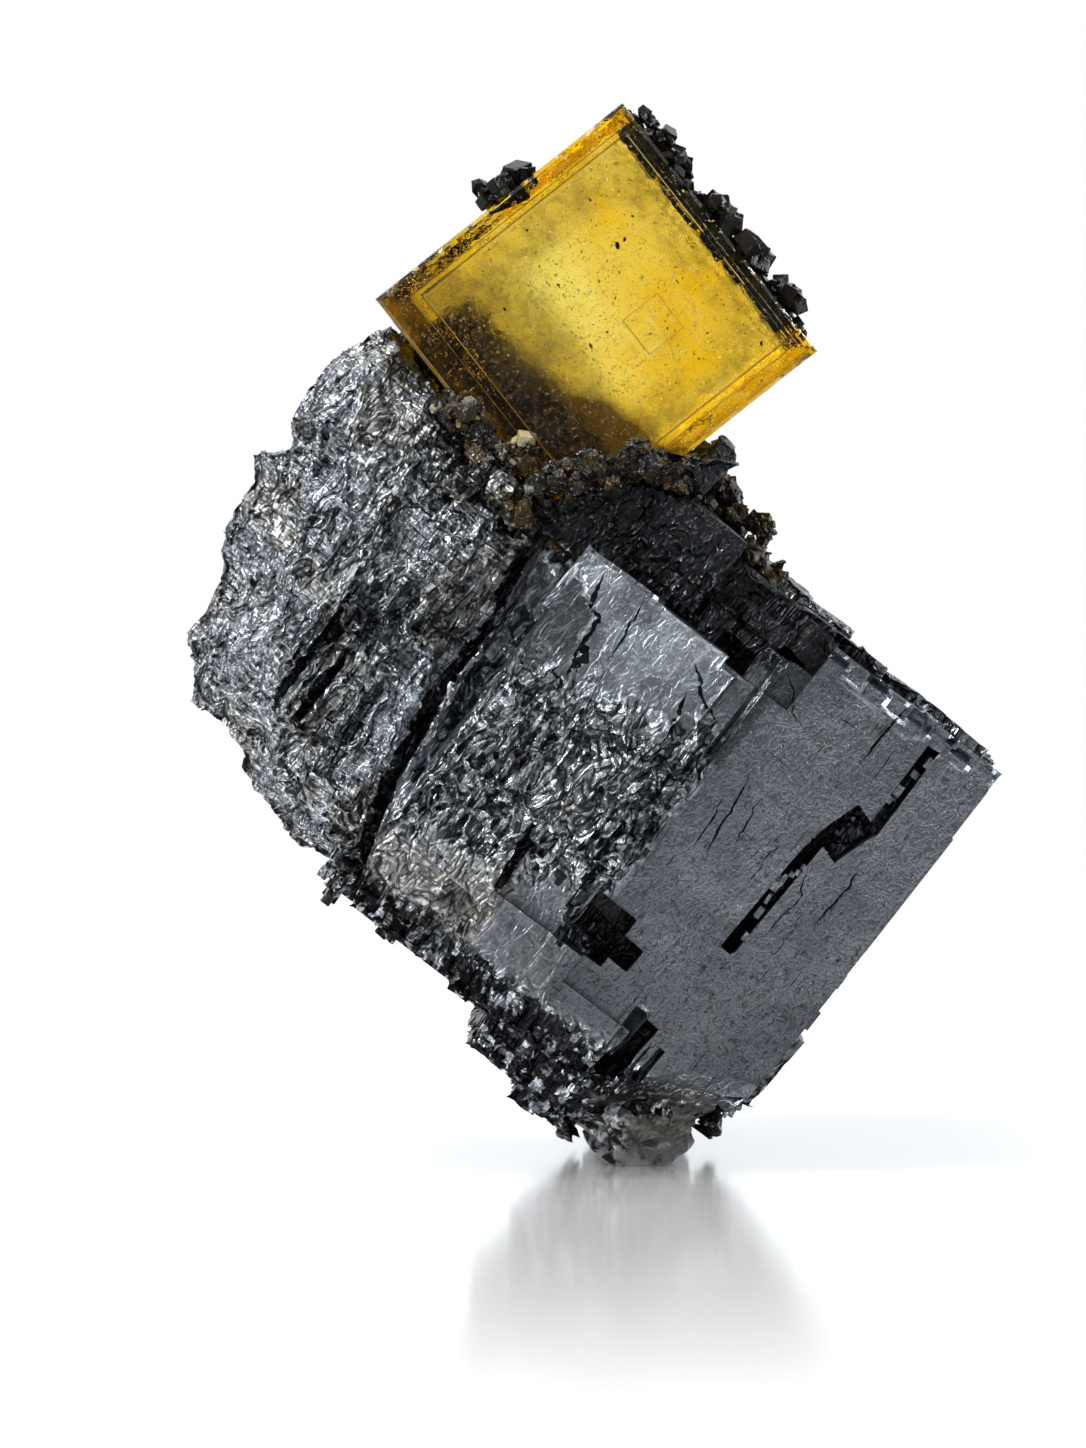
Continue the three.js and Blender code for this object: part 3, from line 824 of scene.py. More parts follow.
@dataclass(frozen=True)
class FluoriteFinish:
    """Clear honey-yellow crystal with its colour in its depth.

    It is frosted and pitted at the back, hazy in patches at the front and darker brown over its lower part,
    along some edges and in patches. It reads the haze, the browning, the amber and the pale zones that the
    crystal's mesh keeps as attributes.
    """

    depth_colour: Colour = (0.959, 0.86, 0.0)
    density: float = 62.0
    haze_tint: Colour = (0.26, 0.22, 0.11)
    amber_tint: Colour = (0.90, 0.60, 0.0)
    gold_tint: Colour = (0.93, 0.74, 0.26)
    # the darker brown over the lower part, along edges and in patches
    dark_brown_tint: Colour = (0.08, 0.048, 0.004)
    line_tint: Colour = (0.06, 0.03, 0.004)

    def make(self) -> bpy.types.Material:
        """Returns the material."""
        shop = Shop("fluorite")
        place = shop.place(FLUORITE_AXES.turn, centre=FLUORITE_AXES.centre)
        across, depth, up = shop.parts(place)
        down = up * -1
        back = depth.ramp(HALF_EDGE - 0.9, HALF_EDGE - 0.5)
        front = depth.ramp(0.9 - HALF_EDGE, 0.3 - HALF_EDGE)
        cloud = shop.noise(place, 0.17, 3, 0.6)
        mottle = shop.noise(place, 0.75, 3, 0.65, 0.6)
        mottled = 0.25 + 0.40 * cloud.ramp(0.42, 0.56) + 0.50 * mottle.ramp(0.44, 0.60)
        haze = shop.attribute("haze") * mottled
        browning = shop.attribute("browning")
        patches = shop.noise(place, 0.30, 3, 0.6)
        frost = back * (0.22 + 0.30 * haze) + front * (haze * 0.18 + browning * 0.16)
        squiggles = (shop.noise(place, 1.1, 2, 0.5, 1.2) * 2 - 1).abs().ramp(0.035, 0.0)
        dashes = squiggles * shop.noise(place, 1.7, 1).ramp(0.50, 0.60)
        specks = shop.cells(place, 1.3).ramp(0.17, 0.06)
        ripples = shop.noise(place, 0.5, 3)
        scratches = shop.noise(shop.scale(place, (0.12, 1.0, 3.0)), 1, 2).ramp(0.68, 0.74)
        frame_line = self._square_line(across + 0.1, down + 1.2, 12.95, 0.15)
        frame_line = frame_line + self._square_line(across, down + 0.9, 13.7, 0.08)
        square_line = self._square_line(across - 3.4, down + 4.5, 2.15, 0.07) * cloud.ramp(0.44, 0.50) * 0.7
        lines = (frame_line + square_line) * front
        sides = 0.06 + 0.94 * front + 0.94 * back
        height = (ripples * 0.4 + specks * (0.15 + haze * 0.3) + scratches * 0.06 - dashes * 0.35) * sides
        height = height + back * ripples * 1.6 - lines * 0.5
        drifts = shop.noise(place, 0.22, 3, 0.6, 0.6).ramp(0.40, 0.62)
        tint = shop.mix(shop.attribute("pale") * (0.55 + 0.45 * drifts), self.gold_tint, (1, 1, 1))
        tint = shop.mix(haze * (front * 0.95 + back * 0.3), tint, self.haze_tint)
        amber = shop.attribute("amber") * (0.35 + patches.ramp(0.42, 0.58) * 0.65) * (1 - back * 0.5)
        tint = shop.mix(amber, tint, self.amber_tint)
        tint = shop.mix(dashes * front * 0.75, tint, self.line_tint)
        tint = shop.mix(lines * 0.9, tint, self.line_tint)
        # darker brown over the lower part, along edges and in patches
        deep = browning * (0.5 + patches.ramp(0.3, 0.7) * 0.5) + browning.ramp(0.84, 1.0) * 0.42
        tint = shop.mix(deep, tint, self.dark_brown_tint)
        shop.surface(
            Base_Color=tint,
            Roughness=frost,
            Transmission_Weight=1.0,
            IOR=1.433,
            Specular_IOR_Level=0.3,
            Normal=shop.bump(height, 0.00022),
        )
        volume = shop.tree.nodes.new("ShaderNodeVolumeAbsorption")
        volume.inputs["Color"].default_value = (*self.depth_colour, 1)
        volume.inputs["Density"].default_value = self.density
        shop.tree.links.new(volume.outputs[0], shop.output.inputs["Volume"])
        return shop.owner

    @staticmethod
    def _square_line(across: Socket, down: Socket, reach: float, width: float) -> Socket:
        """Returns 1 on the outline of a square round the origin and 0 elsewhere."""
        far = across.abs().above(down.abs())
        return (far - reach).abs().ramp(width, width * 0.4)


@dataclass(frozen=True)
class SphaleriteFinish:
    """Black, resinous and shiny, with faint brown depths and fine striations."""

    name: str = "sphalerite"
    tone: Colour = (0.004, 0.0035, 0.003)
    brown: Colour = (0.009, 0.006, 0.003)

    def make(self) -> bpy.types.Material:
        """Returns the material."""
        shop = Shop(self.name)
        place = shop.place(25)
        cloud = shop.noise(place, 0.8, 3)
        lines = shop.noise(shop.scale(place, (0.22, 0.6, 3.0)), 1, 2)
        normal = shop.bump(lines * 0.5 + cloud * 0.4, 0.00012)
        tone = shop.mix(cloud.ramp(0.45, 0.7), self.tone, self.brown)
        shop.surface(Base_Color=tone, Roughness=0.04 + 0.10 * cloud, IOR=1.22, Normal=normal)
        return shop.owner


@dataclass(frozen=True)
class CrustFinish:
    """A crust of small crystals: black, smoky brown, steel grey and a few pale ones, each in its own tone."""

    name: str
    pale: Colour = (0.26, 0.215, 0.12)
    steel: Colour = (0.10, 0.10, 0.085)
    brown: Colour = (0.030, 0.017, 0.004)
    black: Colour = (0.007, 0.006, 0.005)

    def make(self) -> bpy.types.Material:
        """Returns the material."""
        shop = Shop(self.name)
        place = shop.place(10)
        own = shop.attribute("tone")
        cloud = shop.noise(place, 1.4, 3)
        own = own + 0.1 * cloud
        tone = shop.mix(own.ramp(0.40, 0.50), self.black, self.brown)
        tone = shop.mix(own.ramp(0.78, 0.84), tone, self.steel)
        tone = shop.mix(own.ramp(0.98, 1.04), tone, self.pale)
        swirl = (shop.noise(place, 0.8, 2, 0.5, 0.8) * 6).pingpong(0.5)
        normal = shop.bump(swirl + 0.4 * cloud, 0.00016)
        shop.surface(Base_Color=tone, Roughness=0.06 + 0.14 * cloud, IOR=1.36, Normal=normal)
        return shop.owner


@dataclass(frozen=True)
class DustFinish:
    """Fine grains inside the cube, in two tones."""

    name: str = "fluorite_dust"
    brown: Colour = (0.09, 0.06, 0.006)
    gold: Colour = (0.65, 0.45, 0.07)

    def make(self) -> bpy.types.Material:
        """Returns the material."""
        shop = Shop(self.name)
        spots = shop.noise(shop.place(0), 1.8, 2)
        tone = shop.mix(spots.ramp(0.5, 0.62), self.brown, self.gold)
        shop.surface(Base_Color=tone, Roughness=0.35)
        return shop.owner


@dataclass(frozen=True)
class HostRockFinish:
    """Grey-brown weathered host rock with pale grains."""

    brown: Colour = (0.085, 0.078, 0.062)
    dark: Colour = (0.016, 0.016, 0.015)
    pale: Colour = (0.30, 0.29, 0.26)
    steel: Colour = (0.30, 0.31, 0.32)

    def make(self) -> bpy.types.Material:
        """Returns the material."""
        shop = Shop("host_rock")
        place = shop.place(0)
        cloud = shop.noise(place, 0.5, 5, 0.6)
        grains = shop.cells(place, 2.2, out="Color")
        tone = shop.mix(cloud.ramp(0.38, 0.62), self.dark, self.brown)
        tone = shop.mix((grains * 0.6 + cloud * 0.4).ramp(0.60, 0.76) * 0.35, tone, self.pale)
        across, _, height = shop.parts(place)
        low = (height + cloud * 2).ramp(4.2, 2.6) * cloud.ramp(0.35, 0.6)
        side = (cloud * 3 - across).ramp(3.4, 4.4)
        tone = shop.mix(low, tone, self.steel)
        veins = shop.noise(place, 0.9, 3).ramp(0.44, 0.58)
        tone = shop.mix(side, tone, shop.mix(veins, self.dark, self.steel))
        low = low + side * (1 - low)
        normal = shop.bump(cloud * 0.6 + grains * 0.4, 0.0004)
        rough = 0.5 - 0.15 * low + 0.25 * cloud
        shop.surface(Base_Color=tone, Roughness=rough, Metallic=low * 0.9, Normal=normal)
        return shop.owner


# The galena


@dataclass(frozen=True)
class Crack:
    """A groove across a front face, or a hairline with no depth that is drawn as a black ribbon of painted
    shade, its points across and up in millimetres.
    """

    points: tuple[tuple[float, float], ...]
    width: float
    depth: float = 0.0


@dataclass(frozen=True)
class Slot:
    """A stepped slot that the CAD form already has, darkened inside with painted shade, with loose blocks
    along its border.
    """

    points: tuple[tuple[float, float], ...]
    width: float
    blocks_per_mm: float = 0.0


GROOVES = (
    Crack(((-38.3, 46.0), (-34.5, 50.5), (-30.1, 55.6)), 0.5, 2.0),
    Crack(((-35.1, 46.0), (-33.2, 48.5), (-31.0, 51.5)), 0.4, 1.5),
    Crack(((-24.0, 42.0), (-22.0, 45.5), (-18.5, 50.0)), 0.35, 1.0),
    Crack(((-16.5, 37.0), (-12.5, 41.8), (-9.5, 44.2)), 0.35, 0.8),
    Crack(((-1.5, 34.0), (0.5, 38.0), (2.5, 41.5)), 0.5, 1.0),
    Crack(((-9.0, 24.0), (-7.5, 28.0), (-5.0, 31.0)), 0.5, 1.2),
    Crack(((-5.8, 9.5), (-4.2, 13.0), (-1.2, 16.5)), 0.6, 1.4),
)

# Hairlines are thin black ribbons with no depth: painted shade of fine cracks.
HAIRLINES = (
    Crack(((-4.6, 60.4), (-6.0, 57.0), (-5.2, 55.8), (-7.1, 53.0), (-7.8, 50.8)), 0.75),
    Crack(((-7.3, 53.4), (-6.6, 52.2), (-8.4, 50.2)), 1.3),
    Crack(((-15.2, 49.8), (-13.0, 48.8), (-11.4, 48.1)), 0.8),
    Crack(((-10.0, 50.9), (-8.9, 49.6), (-9.4, 48.6)), 0.7),
    Crack(((4.2, 51.4), (4.8, 48.8), (6.4, 45.2)), 0.5),
    Crack(((3.4, 48.6), (2.4, 45.8), (0.4, 42.6)), 0.6),
    Crack(((-1.0, 57.6), (-2.4, 54.6), (-3.2, 53.5), (-4.6, 51.4)), 0.30),
    Crack(((5.0, 32.0), (7.0, 35.6), (9.0, 39.2), (9.7, 40.6)), 0.30),
    Crack(((3.6, 32.6), (5.2, 35.0), (7.4, 38.6)), 0.20),
    Crack(((8.2, 33.4), (9.2, 35.6), (10.6, 37.6)), 0.22),
    Crack(((9.4, 29.4), (11.6, 32.2), (12.8, 33.8)), 0.16),
    Crack(((-3.4, 8.5), (-1.6, 11.6), (0.4, 13.9)), 0.5),
    Crack(((11.0, 24.0), (14.5, 28.4), (15.5, 31.8)), 0.2),
    Crack(((20.5, 41.5), (23.0, 44.4), (25.6, 47.4)), 0.35),
    Crack(((13.0, 51.0), (14.2, 48.4), (13.8, 46.4), (15.0, 44.6)), 0.2),
    Crack(((-12.0, 49.6), (-9.8, 50.6), (-8.0, 51.6)), 0.3),
    Crack(((16.0, 25.4), (18.4, 28.0), (20.6, 31.0)), 0.3),
)

SLOTS = (
    Slot(((26.7, 42.3), (21.7, 37.6), (18.6, 35.4), (14.9, 32.0), (11.7, 30.4), (7.2, 22.8)), 2.0, 2.4),
    Slot(((-10.5, 28.0), (-7.0, 27.6), (-4.0, 25.0), (-3.0, 20.5)), 3.2),
    Slot(((-5.8, 9.5), (-3.4, 12.6), (-1.2, 16.5)), 2.4),
)

NOTCH = ((-6.4, 52.6), (-3.0, 49.4), (-0.4, 52.2), (2.2, 56.0), (0.2, 57.8), (-4.0, 56.4))
SUB_FACE = ((-7.5, 61.5), (-12.0, 54.8), (-13.8, 49.9), (-8.1, 51.8), (-5.8, 56.1))
ZONES = ("left", "calm", "broken", "lower", "recess", "plate", "lens")
RAY_START = -0.04
LINE_LIFT = 0.00003


def along_line(across: np.ndarray, up: np.ndarray, points: Sequence[tuple[float, float]]) -> np.ndarray:
    """Returns each place's distance from a line of straight stretches."""
    nearest = np.full(len(across), np.inf)
    for (x0, z0), (x1, z1) in zip(points, points[1:]):
        run, rise = x1 - x0, z1 - z0
        share = np.clip(((across - x0) * run + (up - z0) * rise) / (run * run + rise * rise), 0, 1)
        nearest = np.minimum(nearest, np.hypot(across - x0 - share * run, up - z0 - share * rise))
    return nearest


def inside(across: np.ndarray, up: np.ndarray, corners: Sequence[tuple[float, float]]) -> np.ndarray:
    """Returns 1 inside a polygon and 0 outside."""
    result = np.zeros(len(across), dtype=bool)
    for (x0, z0), (x1, z1) in zip(corners, (*corners[1:], corners[0])):
        crosses = (z0 > up) != (z1 > up)
        with np.errstate(divide="ignore", invalid="ignore"):
            result ^= crosses & (across < (x1 - x0) * (up - z0) / (z1 - z0) + x0)
    return result.astype(float)


def paint_zones(piece: bpy.types.Object, zone: Sequence[float]) -> None:
    """Gives a whole piece one value for each zone."""
    for name, value in zip(ZONES, zone):
        paint(piece, name, np.full(len(piece.data.vertices), value))


class Side(Enum):
    """The galena's two crystals, one on each side of the fissure, by the names of their pieces."""

    LEFT = "galena_left_crystal"
    RIGHT = "galena_right_crystal"


@dataclass
class GalenaMass:
    """The intergrown galena: a rough left crystal, stepped plates and a smooth right crystal."""

    left_cell: float = 0.34
    right_cell: float = 0.45
    overlap: float = 0.5
    seed: int = 12
    smooth_angle: float = 24
    broken_blocks: ChipStyle = ChipStyle(
        "galena_chips",
        1800,
        ((0.4, 1.7), (0.5, 2.0), (0.4, 1.2)),
        tilt=5,
        proud=0.30,
        zone=(0.0, 0.4, 0.6, 0.9, 0.0, 0.0, 0.0),
    )
    level_blocks: ChipStyle = ChipStyle(
        "galena_steps",
        1800,
        ((0.3, 1.2), (0.5, 2.0), (0.3, 0.9)),
        tilt=1,
        proud=0.08,
    )
    rubble_zone: tuple[float, ...] = (0.0, 0.85, 0.0, 0.0, 0.0, 0.0, 0.0)
    rubble_thickness: float = 1.6
    hairline_count: int = 90
    swells: tuple[tuple, ...] = (
        ((-36.0, 73.5), 4.5, 3.0, (-0.72, 0.69)),
        ((-38.0, 37.5), 5.5, 1.3, (-0.7, -0.7)),
        ((-43.5, 47.0), 5.0, 0.8, (-0.9, -0.3)),
    )
    back_block_top: float = 70.5

    def __post_init__(self) -> None:
        """Prepares the repeatable noise."""
        self.noise = Noise(self.seed)
        self.rng = np.random.default_rng(self.seed)

    def skin(self, side: Side, cell: float) -> bpy.types.Object:
        """Covers one crystal of the CAD form in small even faces that keep its sharp edges.

        Args:
            side: which crystal it is.
            cell: the faces' length in millimetres.

        Returns:
            The piece, with its relief.
        """
        left = side is Side.LEFT
        made = copy_of_node("galena", side.value)
        move_to(made, GALENA_AXES.local(places(made)) / MM)
        whole = BVHTree.FromObject(made, bpy.context.evaluated_depsgraph_get())
        across = GALENA_AXES.axes() @ FISSURE_AXES.axes()[0]
        cut = FISSURE_LINE / MM + (self.overlap if left else -self.overlap)
        only(made)
        bpy.ops.object.mode_set(mode="EDIT")
        bpy.ops.mesh.select_all(action="SELECT")
        bpy.ops.mesh.bisect(
            plane_co=across * cut,
            plane_no=across,
            use_fill=True,
            clear_inner=not left,
            clear_outer=left,
        )
        bpy.ops.object.mode_set(mode="OBJECT")
        points = places(made)
        reach = float(np.max(points.max(axis=0) - points.min(axis=0)))
        remesh(made, reach, cell, 9, sharpness=0.7, tidy=False)
        self.relief(made, whole, across, cut)
        return made

    def zones(self, own: np.ndarray) -> dict[str, np.ndarray]:
        """Returns how far each point belongs to each zone of the surface.

        Args:
            own: places in millimetres along the crystal's axes.
        """
        a, b, y = own.T
        across = FISSURE_AXES.local(GALENA_AXES.world(own))[:, 0]
        front = 1 - smooth(-19.8, -18.6, y)
        left = 1 - smooth(-42.4, -41.2, across)
        # this zone carries painted shade: the recess behind the front plate
        recess = (1 - left) * (1 - smooth(-44.6, -43.6, b)) * band(a, -56, -13, 1.0) * band(y, -21, -6, 1.5)
        plates = front * band(a, -44, -20.6, 0.4) * band(b, -47, -2, 0.6) * (1 - left)
        edge = self.noise.fractal(own / 3, 2) * 3.0
        rough_top = smooth(-39.5, -33.0, b + 0.3 * (a + 30) + edge)
        rough_end = 1 - smooth(-19, -13.5, b + 0.35 * (a + 30) + edge)
        broken = plates * rough_top * rough_end
        lower = smooth(-9, -6, b + edge * 0.4) * (1 - left)
        face = front * smooth(-21.2, -20, a) * (1 - lower)
        lens = plates * band(a, -46, -28.5, 0.8) * smooth(-18, -16, b) * (1 - broken)
        x, z = (GALENA_AXES.world(own)[:, i] for i in (0, 2))
        lens = np.maximum(lens, band(x, -6.5, 5.0, 0.9) * band(z, 1.5, 9.3, 0.8) * (1 - face))
        contact = np.exp(-(((x + 13.0) / 4.5) ** 2 + ((z - 67.5) / 6.5) ** 2)) * smooth(0, 10, -y)
        lens = np.maximum(lens, 0.9 * contact)
        calm = np.clip(face + 0.85 * (plates - broken), 0, 1) * (1 - lower) * (1 - 0.55 * lens)
        cleaved = self.noise.bricks(own + edge[:, None] * 0.3, (9.0, 7.0, 8.0))
        sides = (1 - front) * (1 - recess) * np.clip(cleaved * 1.6 - 0.65, 0, 0.72)
        calm = np.maximum(calm, sides * (1 - 0.6 * left))
        sub_face = inside(x + edge * 0.1, z, SUB_FACE)
        plate = plates * (1 - broken) * band(a, -44, -21.5, 0.6)
        plate = plate * (1 - smooth(-37, -33, b)) * (1 - sub_face)
        # painted shade on the set-back sub-face, on a strip beside the plate and inside the slots
        recess = np.maximum(recess, 0.45 * sub_face * front)
        strip = 0.8 * (y < -8) * band(a, -21.6, -19.9, 0.2) * (1 - smooth(-37, -34, b))
        recess = np.maximum(recess, strip)
        for slot in SLOTS:
            gap = along_line(x, z, slot.points)
            dark = (gap < slot.width * 0.8) * smooth(-20.3, -19.3, y) * band(y, -21, -8, 1)
            recess = np.maximum(recess, dark)
        return dict(zip(ZONES, (left, calm, broken, lower, recess, plate, lens)))

    def depth(self, own: np.ndarray, normals: np.ndarray, zones: dict[str, np.ndarray]) -> np.ndarray:
        """Returns how deep each point is sunk, in millimetres.

        Args:
            own: places in millimetres along the crystal's axes.
            normals: the directions that the surface faces there.
            zones: what each point belongs to.
        """
        a, b, y = own.T
        noise = self.noise
        wander = np.stack([noise.smooth(own / 6 + s) for s in (0, 40, 80)], axis=1)
        large = noise.bricks(own + wander * 0.8, (4.2, 6.4, 3.6))
        middle = noise.bricks(own + wander * 0.6 + 31, (1.9, 3.4, 1.7))
        small = noise.bricks(own + wander * 0.5 + 57, (1.0, 2.0, 1.0))
        patch = smooth(-0.1, 0.25, noise.fractal(own / 9, 2))
        lumps = noise.fractal(own / 8.5 + 3, 2)
        wide = noise.fractal(np.stack([a / 2.1 + wander[:, 0] * 1.5, b / 6, y / 3], axis=1), 2)
        narrow = noise.fractal(np.stack([a / 1.15 + wander[:, 1], b / 3.2, y / 1.6], axis=1) + 9, 1)
        grooves = np.exp(-(wide / 0.08) ** 2)
        slits = np.exp(-(narrow / 0.10) ** 2)
        waves = 0.35 - 0.5 * wide - 0.3 * narrow
        left_depth = 1.3 * np.clip(0.5 - lumps, 0, 1.2) + 0.5 * grooves + 0.16 * slits + waves
        broken_depth = 0.8 * np.clip(0.4 - lumps, 0, 1) + 0.7 * grooves + 0.4 * slits + waves - 0.25
        stepped_depth = patch * (0.55 * large + 0.35 * middle + 0.2 * small)
        stepped_depth += 0.35 * np.clip(0.4 - lumps, 0, 1)
        stepped_depth += (1 - patch) * 0.35 * grooves
        calm_depth = 0.05 * large + 0.10 * np.clip(0.3 - noise.fractal(own / 14, 2), 0, 1)
        calm_depth += zones["plate"] * 0.55 * np.clip(0.45 + noise.fractal(own / 3.6 + 11, 2), 0, 1)
        lower_depth = 0.6 * large + 0.55 * middle + 0.3 * small + 0.4 * grooves
        broken, lower, left, calm = (zones[name] for name in ("broken", "lower", "left", "calm"))
        low = lower * (1 - left) * (1 - calm)
        rest = np.clip(1 - calm - left - broken - low, 0, 1)
        depth = left * left_depth + broken * broken_depth + calm * calm_depth
        depth += low * lower_depth + rest * stepped_depth
        x, z = (GALENA_AXES.world(own)[:, i] for i in (0, 2))
        facing = smooth(0.3, 0.7, -normals[:, 2])
        flat = np.stack([a, b, np.zeros(len(a))], axis=1)
        notch = noise.bricks(flat + wander * 0.3, (2.6, 1.7, 9.0))
        rim = b + 53.0 + wander[:, 2]
        face = facing * smooth(-20, -18, a)
        depth += face * (1 - smooth(1.0, 1.2, rim)) * (notch > 0.45) * 0.6
        depth += face * (1 - smooth(2.6, 2.8, rim)) * (notch > 0.7) * 0.3
        for crack in GROOVES:
            gap = along_line(x + wander[:, 0] * 0.35, z, crack.points)
            depth += facing * crack.depth * (1 - smooth(crack.width * 0.5, crack.width * 1.1, gap))
        return np.maximum(depth, 0)

    @staticmethod
    def lean(own: np.ndarray) -> np.ndarray:
        """Returns how far back each point of the upper plate leans, in millimetres."""
        a, b, y = own.T
        x, z = (GALENA_AXES.world(own)[:, i] for i in (0, 2))
        upper = np.clip((-33 - b) / 13, 0, 1) * 2.8
        upper = np.where(inside(x, z, SUB_FACE) > 0, upper * 0.6 + 0.5, upper)
        body = band(a, -45.5, -21.5, 0.3) * band(b, -49, -30, 0.3)
        return upper * body * np.clip((-16 - y) / 9.4, 0, 1)

    def relief(self, made: bpy.types.Object, whole: BVHTree, across: np.ndarray, cut: float) -> None:
        """Sinks steps, ridges and cracks into a skin and takes it to its place.

        Args:
            made: the skin.
            whole: the form before it was cut.
            across: the direction across the fissure.
            cut: where the skin was cut, along that direction.
        """
        own = places(made)
        normals = directions(made).copy()
        x, z = (GALENA_AXES.world(own)[:, i] for i in (0, 2))
        filled = (inside(x, z, NOTCH) > 0) & (own[:, 2] < -12)
        if filled.any():
            own[filled, 2] = np.percentile(own[filled, 2], 8)
            normals[filled] = (0, 0, -1)
        inner = np.zeros(len(own), dtype=bool)
        for i in np.nonzero(np.abs(own @ across - cut) < 0.3)[0]:
            _, facing, _, gap = whole.find_nearest(own[i])
            inner[i] = gap > 0.15
            normals[i] = facing
        zones = self.zones(own)
        wall = 1 - smooth(0.5, 0.9, -normals[:, 2])
        zones["plate"] *= 1 - wall
        shaded = 0.75 * wall * band(own[:, 0], -24, -18, 0.5) * (own[:, 2] < -14)
        zones["recess"] = np.maximum(zones["recess"], shaded)
        foot = smooth(0.0, 3.0, GALENA_AXES.world(own)[:, 2])
        depth = self.depth(own, normals, zones) * foot * ~inner
        moved = own - normals * depth[:, None]
        moved[:, 2] += self.lean(own)
        ridge = smooth(-13, -8, moved[:, 2]) * smooth(-34, -31, moved[:, 0])
        ridge = ridge * (made.name == Side.RIGHT.value)
        moved[:, 1] += ridge * 0.3 * np.maximum(-50 - moved[:, 1], 0)
        moved = GALENA_AXES.world(moved)
        if made.name == Side.LEFT.value:
            for spot, reach, amount, way in self.swells:
                share = near(moved[:, 0], moved[:, 2], spot, reach)
                moved[:, [0, 2]] += (amount * share)[:, None] * np.array(way)
        proud = moved[:, 2] - self.back_block_top
        block = band(moved[:, 0], -3, 12, 1.0) * band(moved[:, 1], -26, -12.5, 0.5) * (proud > 0)
        moved[:, 2] -= block * proud * 0.75
        move_to(made, within_box(moved * MM))
        for name, values in zones.items():
            paint(made, name, values)

    def chips(
        self,
        made: bpy.types.Object,
        weights: np.ndarray,
        style: ChipStyle,
        material: bpy.types.Material,
    ) -> None:
        """Grows small cleavage blocks out of a skin.

        Args:
            made: the skin.
            weights: how likely each of the skin's points is to carry one.
            style: their number, sizes and tilt.
            material: their material.
        """
        template, corners = Template.cube(0.04), Template.cube().points
        pile = Pile()
        axes = GALENA_AXES.axes()
        tree = BVHTree.FromObject(made, bpy.context.evaluated_depsgraph_get())
        for spot, facing in zip(*seats(made, weights, style.count, self.rng)):
            size = np.array([self.rng.uniform(low, high) for low, high in style.sizes]) * MM
            turned = tilted(axes, self.rng, (style.tilt,) * 3)
            reach = 0.5 * np.abs(turned @ facing) @ size
            centre = spot - facing * (reach - self.rng.uniform(0.0, style.proud) * MM)
            if all(self.within(tree, corner) for corner in (corners * size) @ turned + centre):
                pile.add(template, centre, turned, size)
        piece = pile.finish(style.name, material)
        paint_zones(piece, style.zone)
        settle(piece, "galena", self.smooth_angle)

    @staticmethod
    def within(tree: BVHTree, corner: np.ndarray, slack: float = 0.0003) -> bool:
        """Returns whether a place lies inside a surface or close above it."""
        nearest, facing, _, gap = tree.find_nearest(corner)
        return gap < slack or (Vector(corner) - nearest).dot(facing) < -0.7 * gap

    def rubble(self, skins: Sequence[bpy.types.Object], material: bpy.types.Material) -> None:
        """Breaks the straight borders of the slots with small blocks at the level of the front faces."""
        trees = [BVHTree.FromObject(skin, bpy.context.evaluated_depsgraph_get()) for skin in skins]
        template, pile = Template.cube(0.05), Pile()
        for slot in SLOTS:
            for (x0, z0), (x1, z1) in zip(slot.points, slot.points[1:]):
                run = math.hypot(x1 - x0, z1 - z0)
                way = np.array((x1 - x0, z1 - z0)) / run
                side = np.array((way[1], -way[0]))
                for _ in range(int(run * slot.blocks_per_mm)):
                    half = self.rng.choice((-1, 1)) * slot.width * 0.5
                    spot = np.array((x0, z0)) + way * self.rng.uniform(0, run) + side * half
                    level = self.land(spot + side * np.sign(half) * 1.3, trees)
                    if level is None:
                        continue
                    length, width = self.rng.uniform(0.3, 0.9), self.rng.uniform(0.4, 1.3)
                    size = np.array([length, width, self.rubble_thickness]) * MM
                    sink = self.rng.choice((0.02, 0.05, 0.5, 0.9)) * MM
                    centre = np.array((spot[0] * MM, level.y + sink + size[2] / 2, spot[1] * MM))
                    turned = tilted(GALENA_AXES.axes(), self.rng, (1, 1, 2))
                    pile.add(template, centre, turned, size)
        piece = pile.finish("galena_rubble", material)
        paint_zones(piece, self.rubble_zone)
        settle(piece, "galena", self.smooth_angle)

    def hairlines(self, skins: Sequence[bpy.types.Object], material: bpy.types.Material) -> None:
        """Draws thin black ribbons, the painted shade of fine cracks, that step along the crystal's edges over
        the front faces.
        """
        trees = [BVHTree.FromObject(skin, bpy.context.evaluated_depsgraph_get()) for skin in skins]
        lines = list(HAIRLINES)
        turn = math.radians(GALENA_AXES.turn)
        along = np.array((math.sin(turn), math.cos(turn)))
        for _ in range(self.hairline_count):
            own = np.array((self.rng.uniform(-20, 1), self.rng.uniform(-51, -6), -22.0))
            start = GALENA_AXES.world(own)[[0, 2]]
            length = self.rng.exponential(1.0) + 0.4
            way = along if self.rng.random() < 0.8 else np.array((along[1], -along[0]))
            ends = (tuple(start), tuple(start + way * length))
            lines.append(Crack(ends, self.rng.uniform(0.04, 0.11)))
        points: list[Vector] = []
        faces: list[tuple[int, ...]] = []
        for line in lines:
            self.ribbon(line, trees, points, faces)
        settle(mesh_object("galena_hairlines", np.array(points), faces, material), "galena")

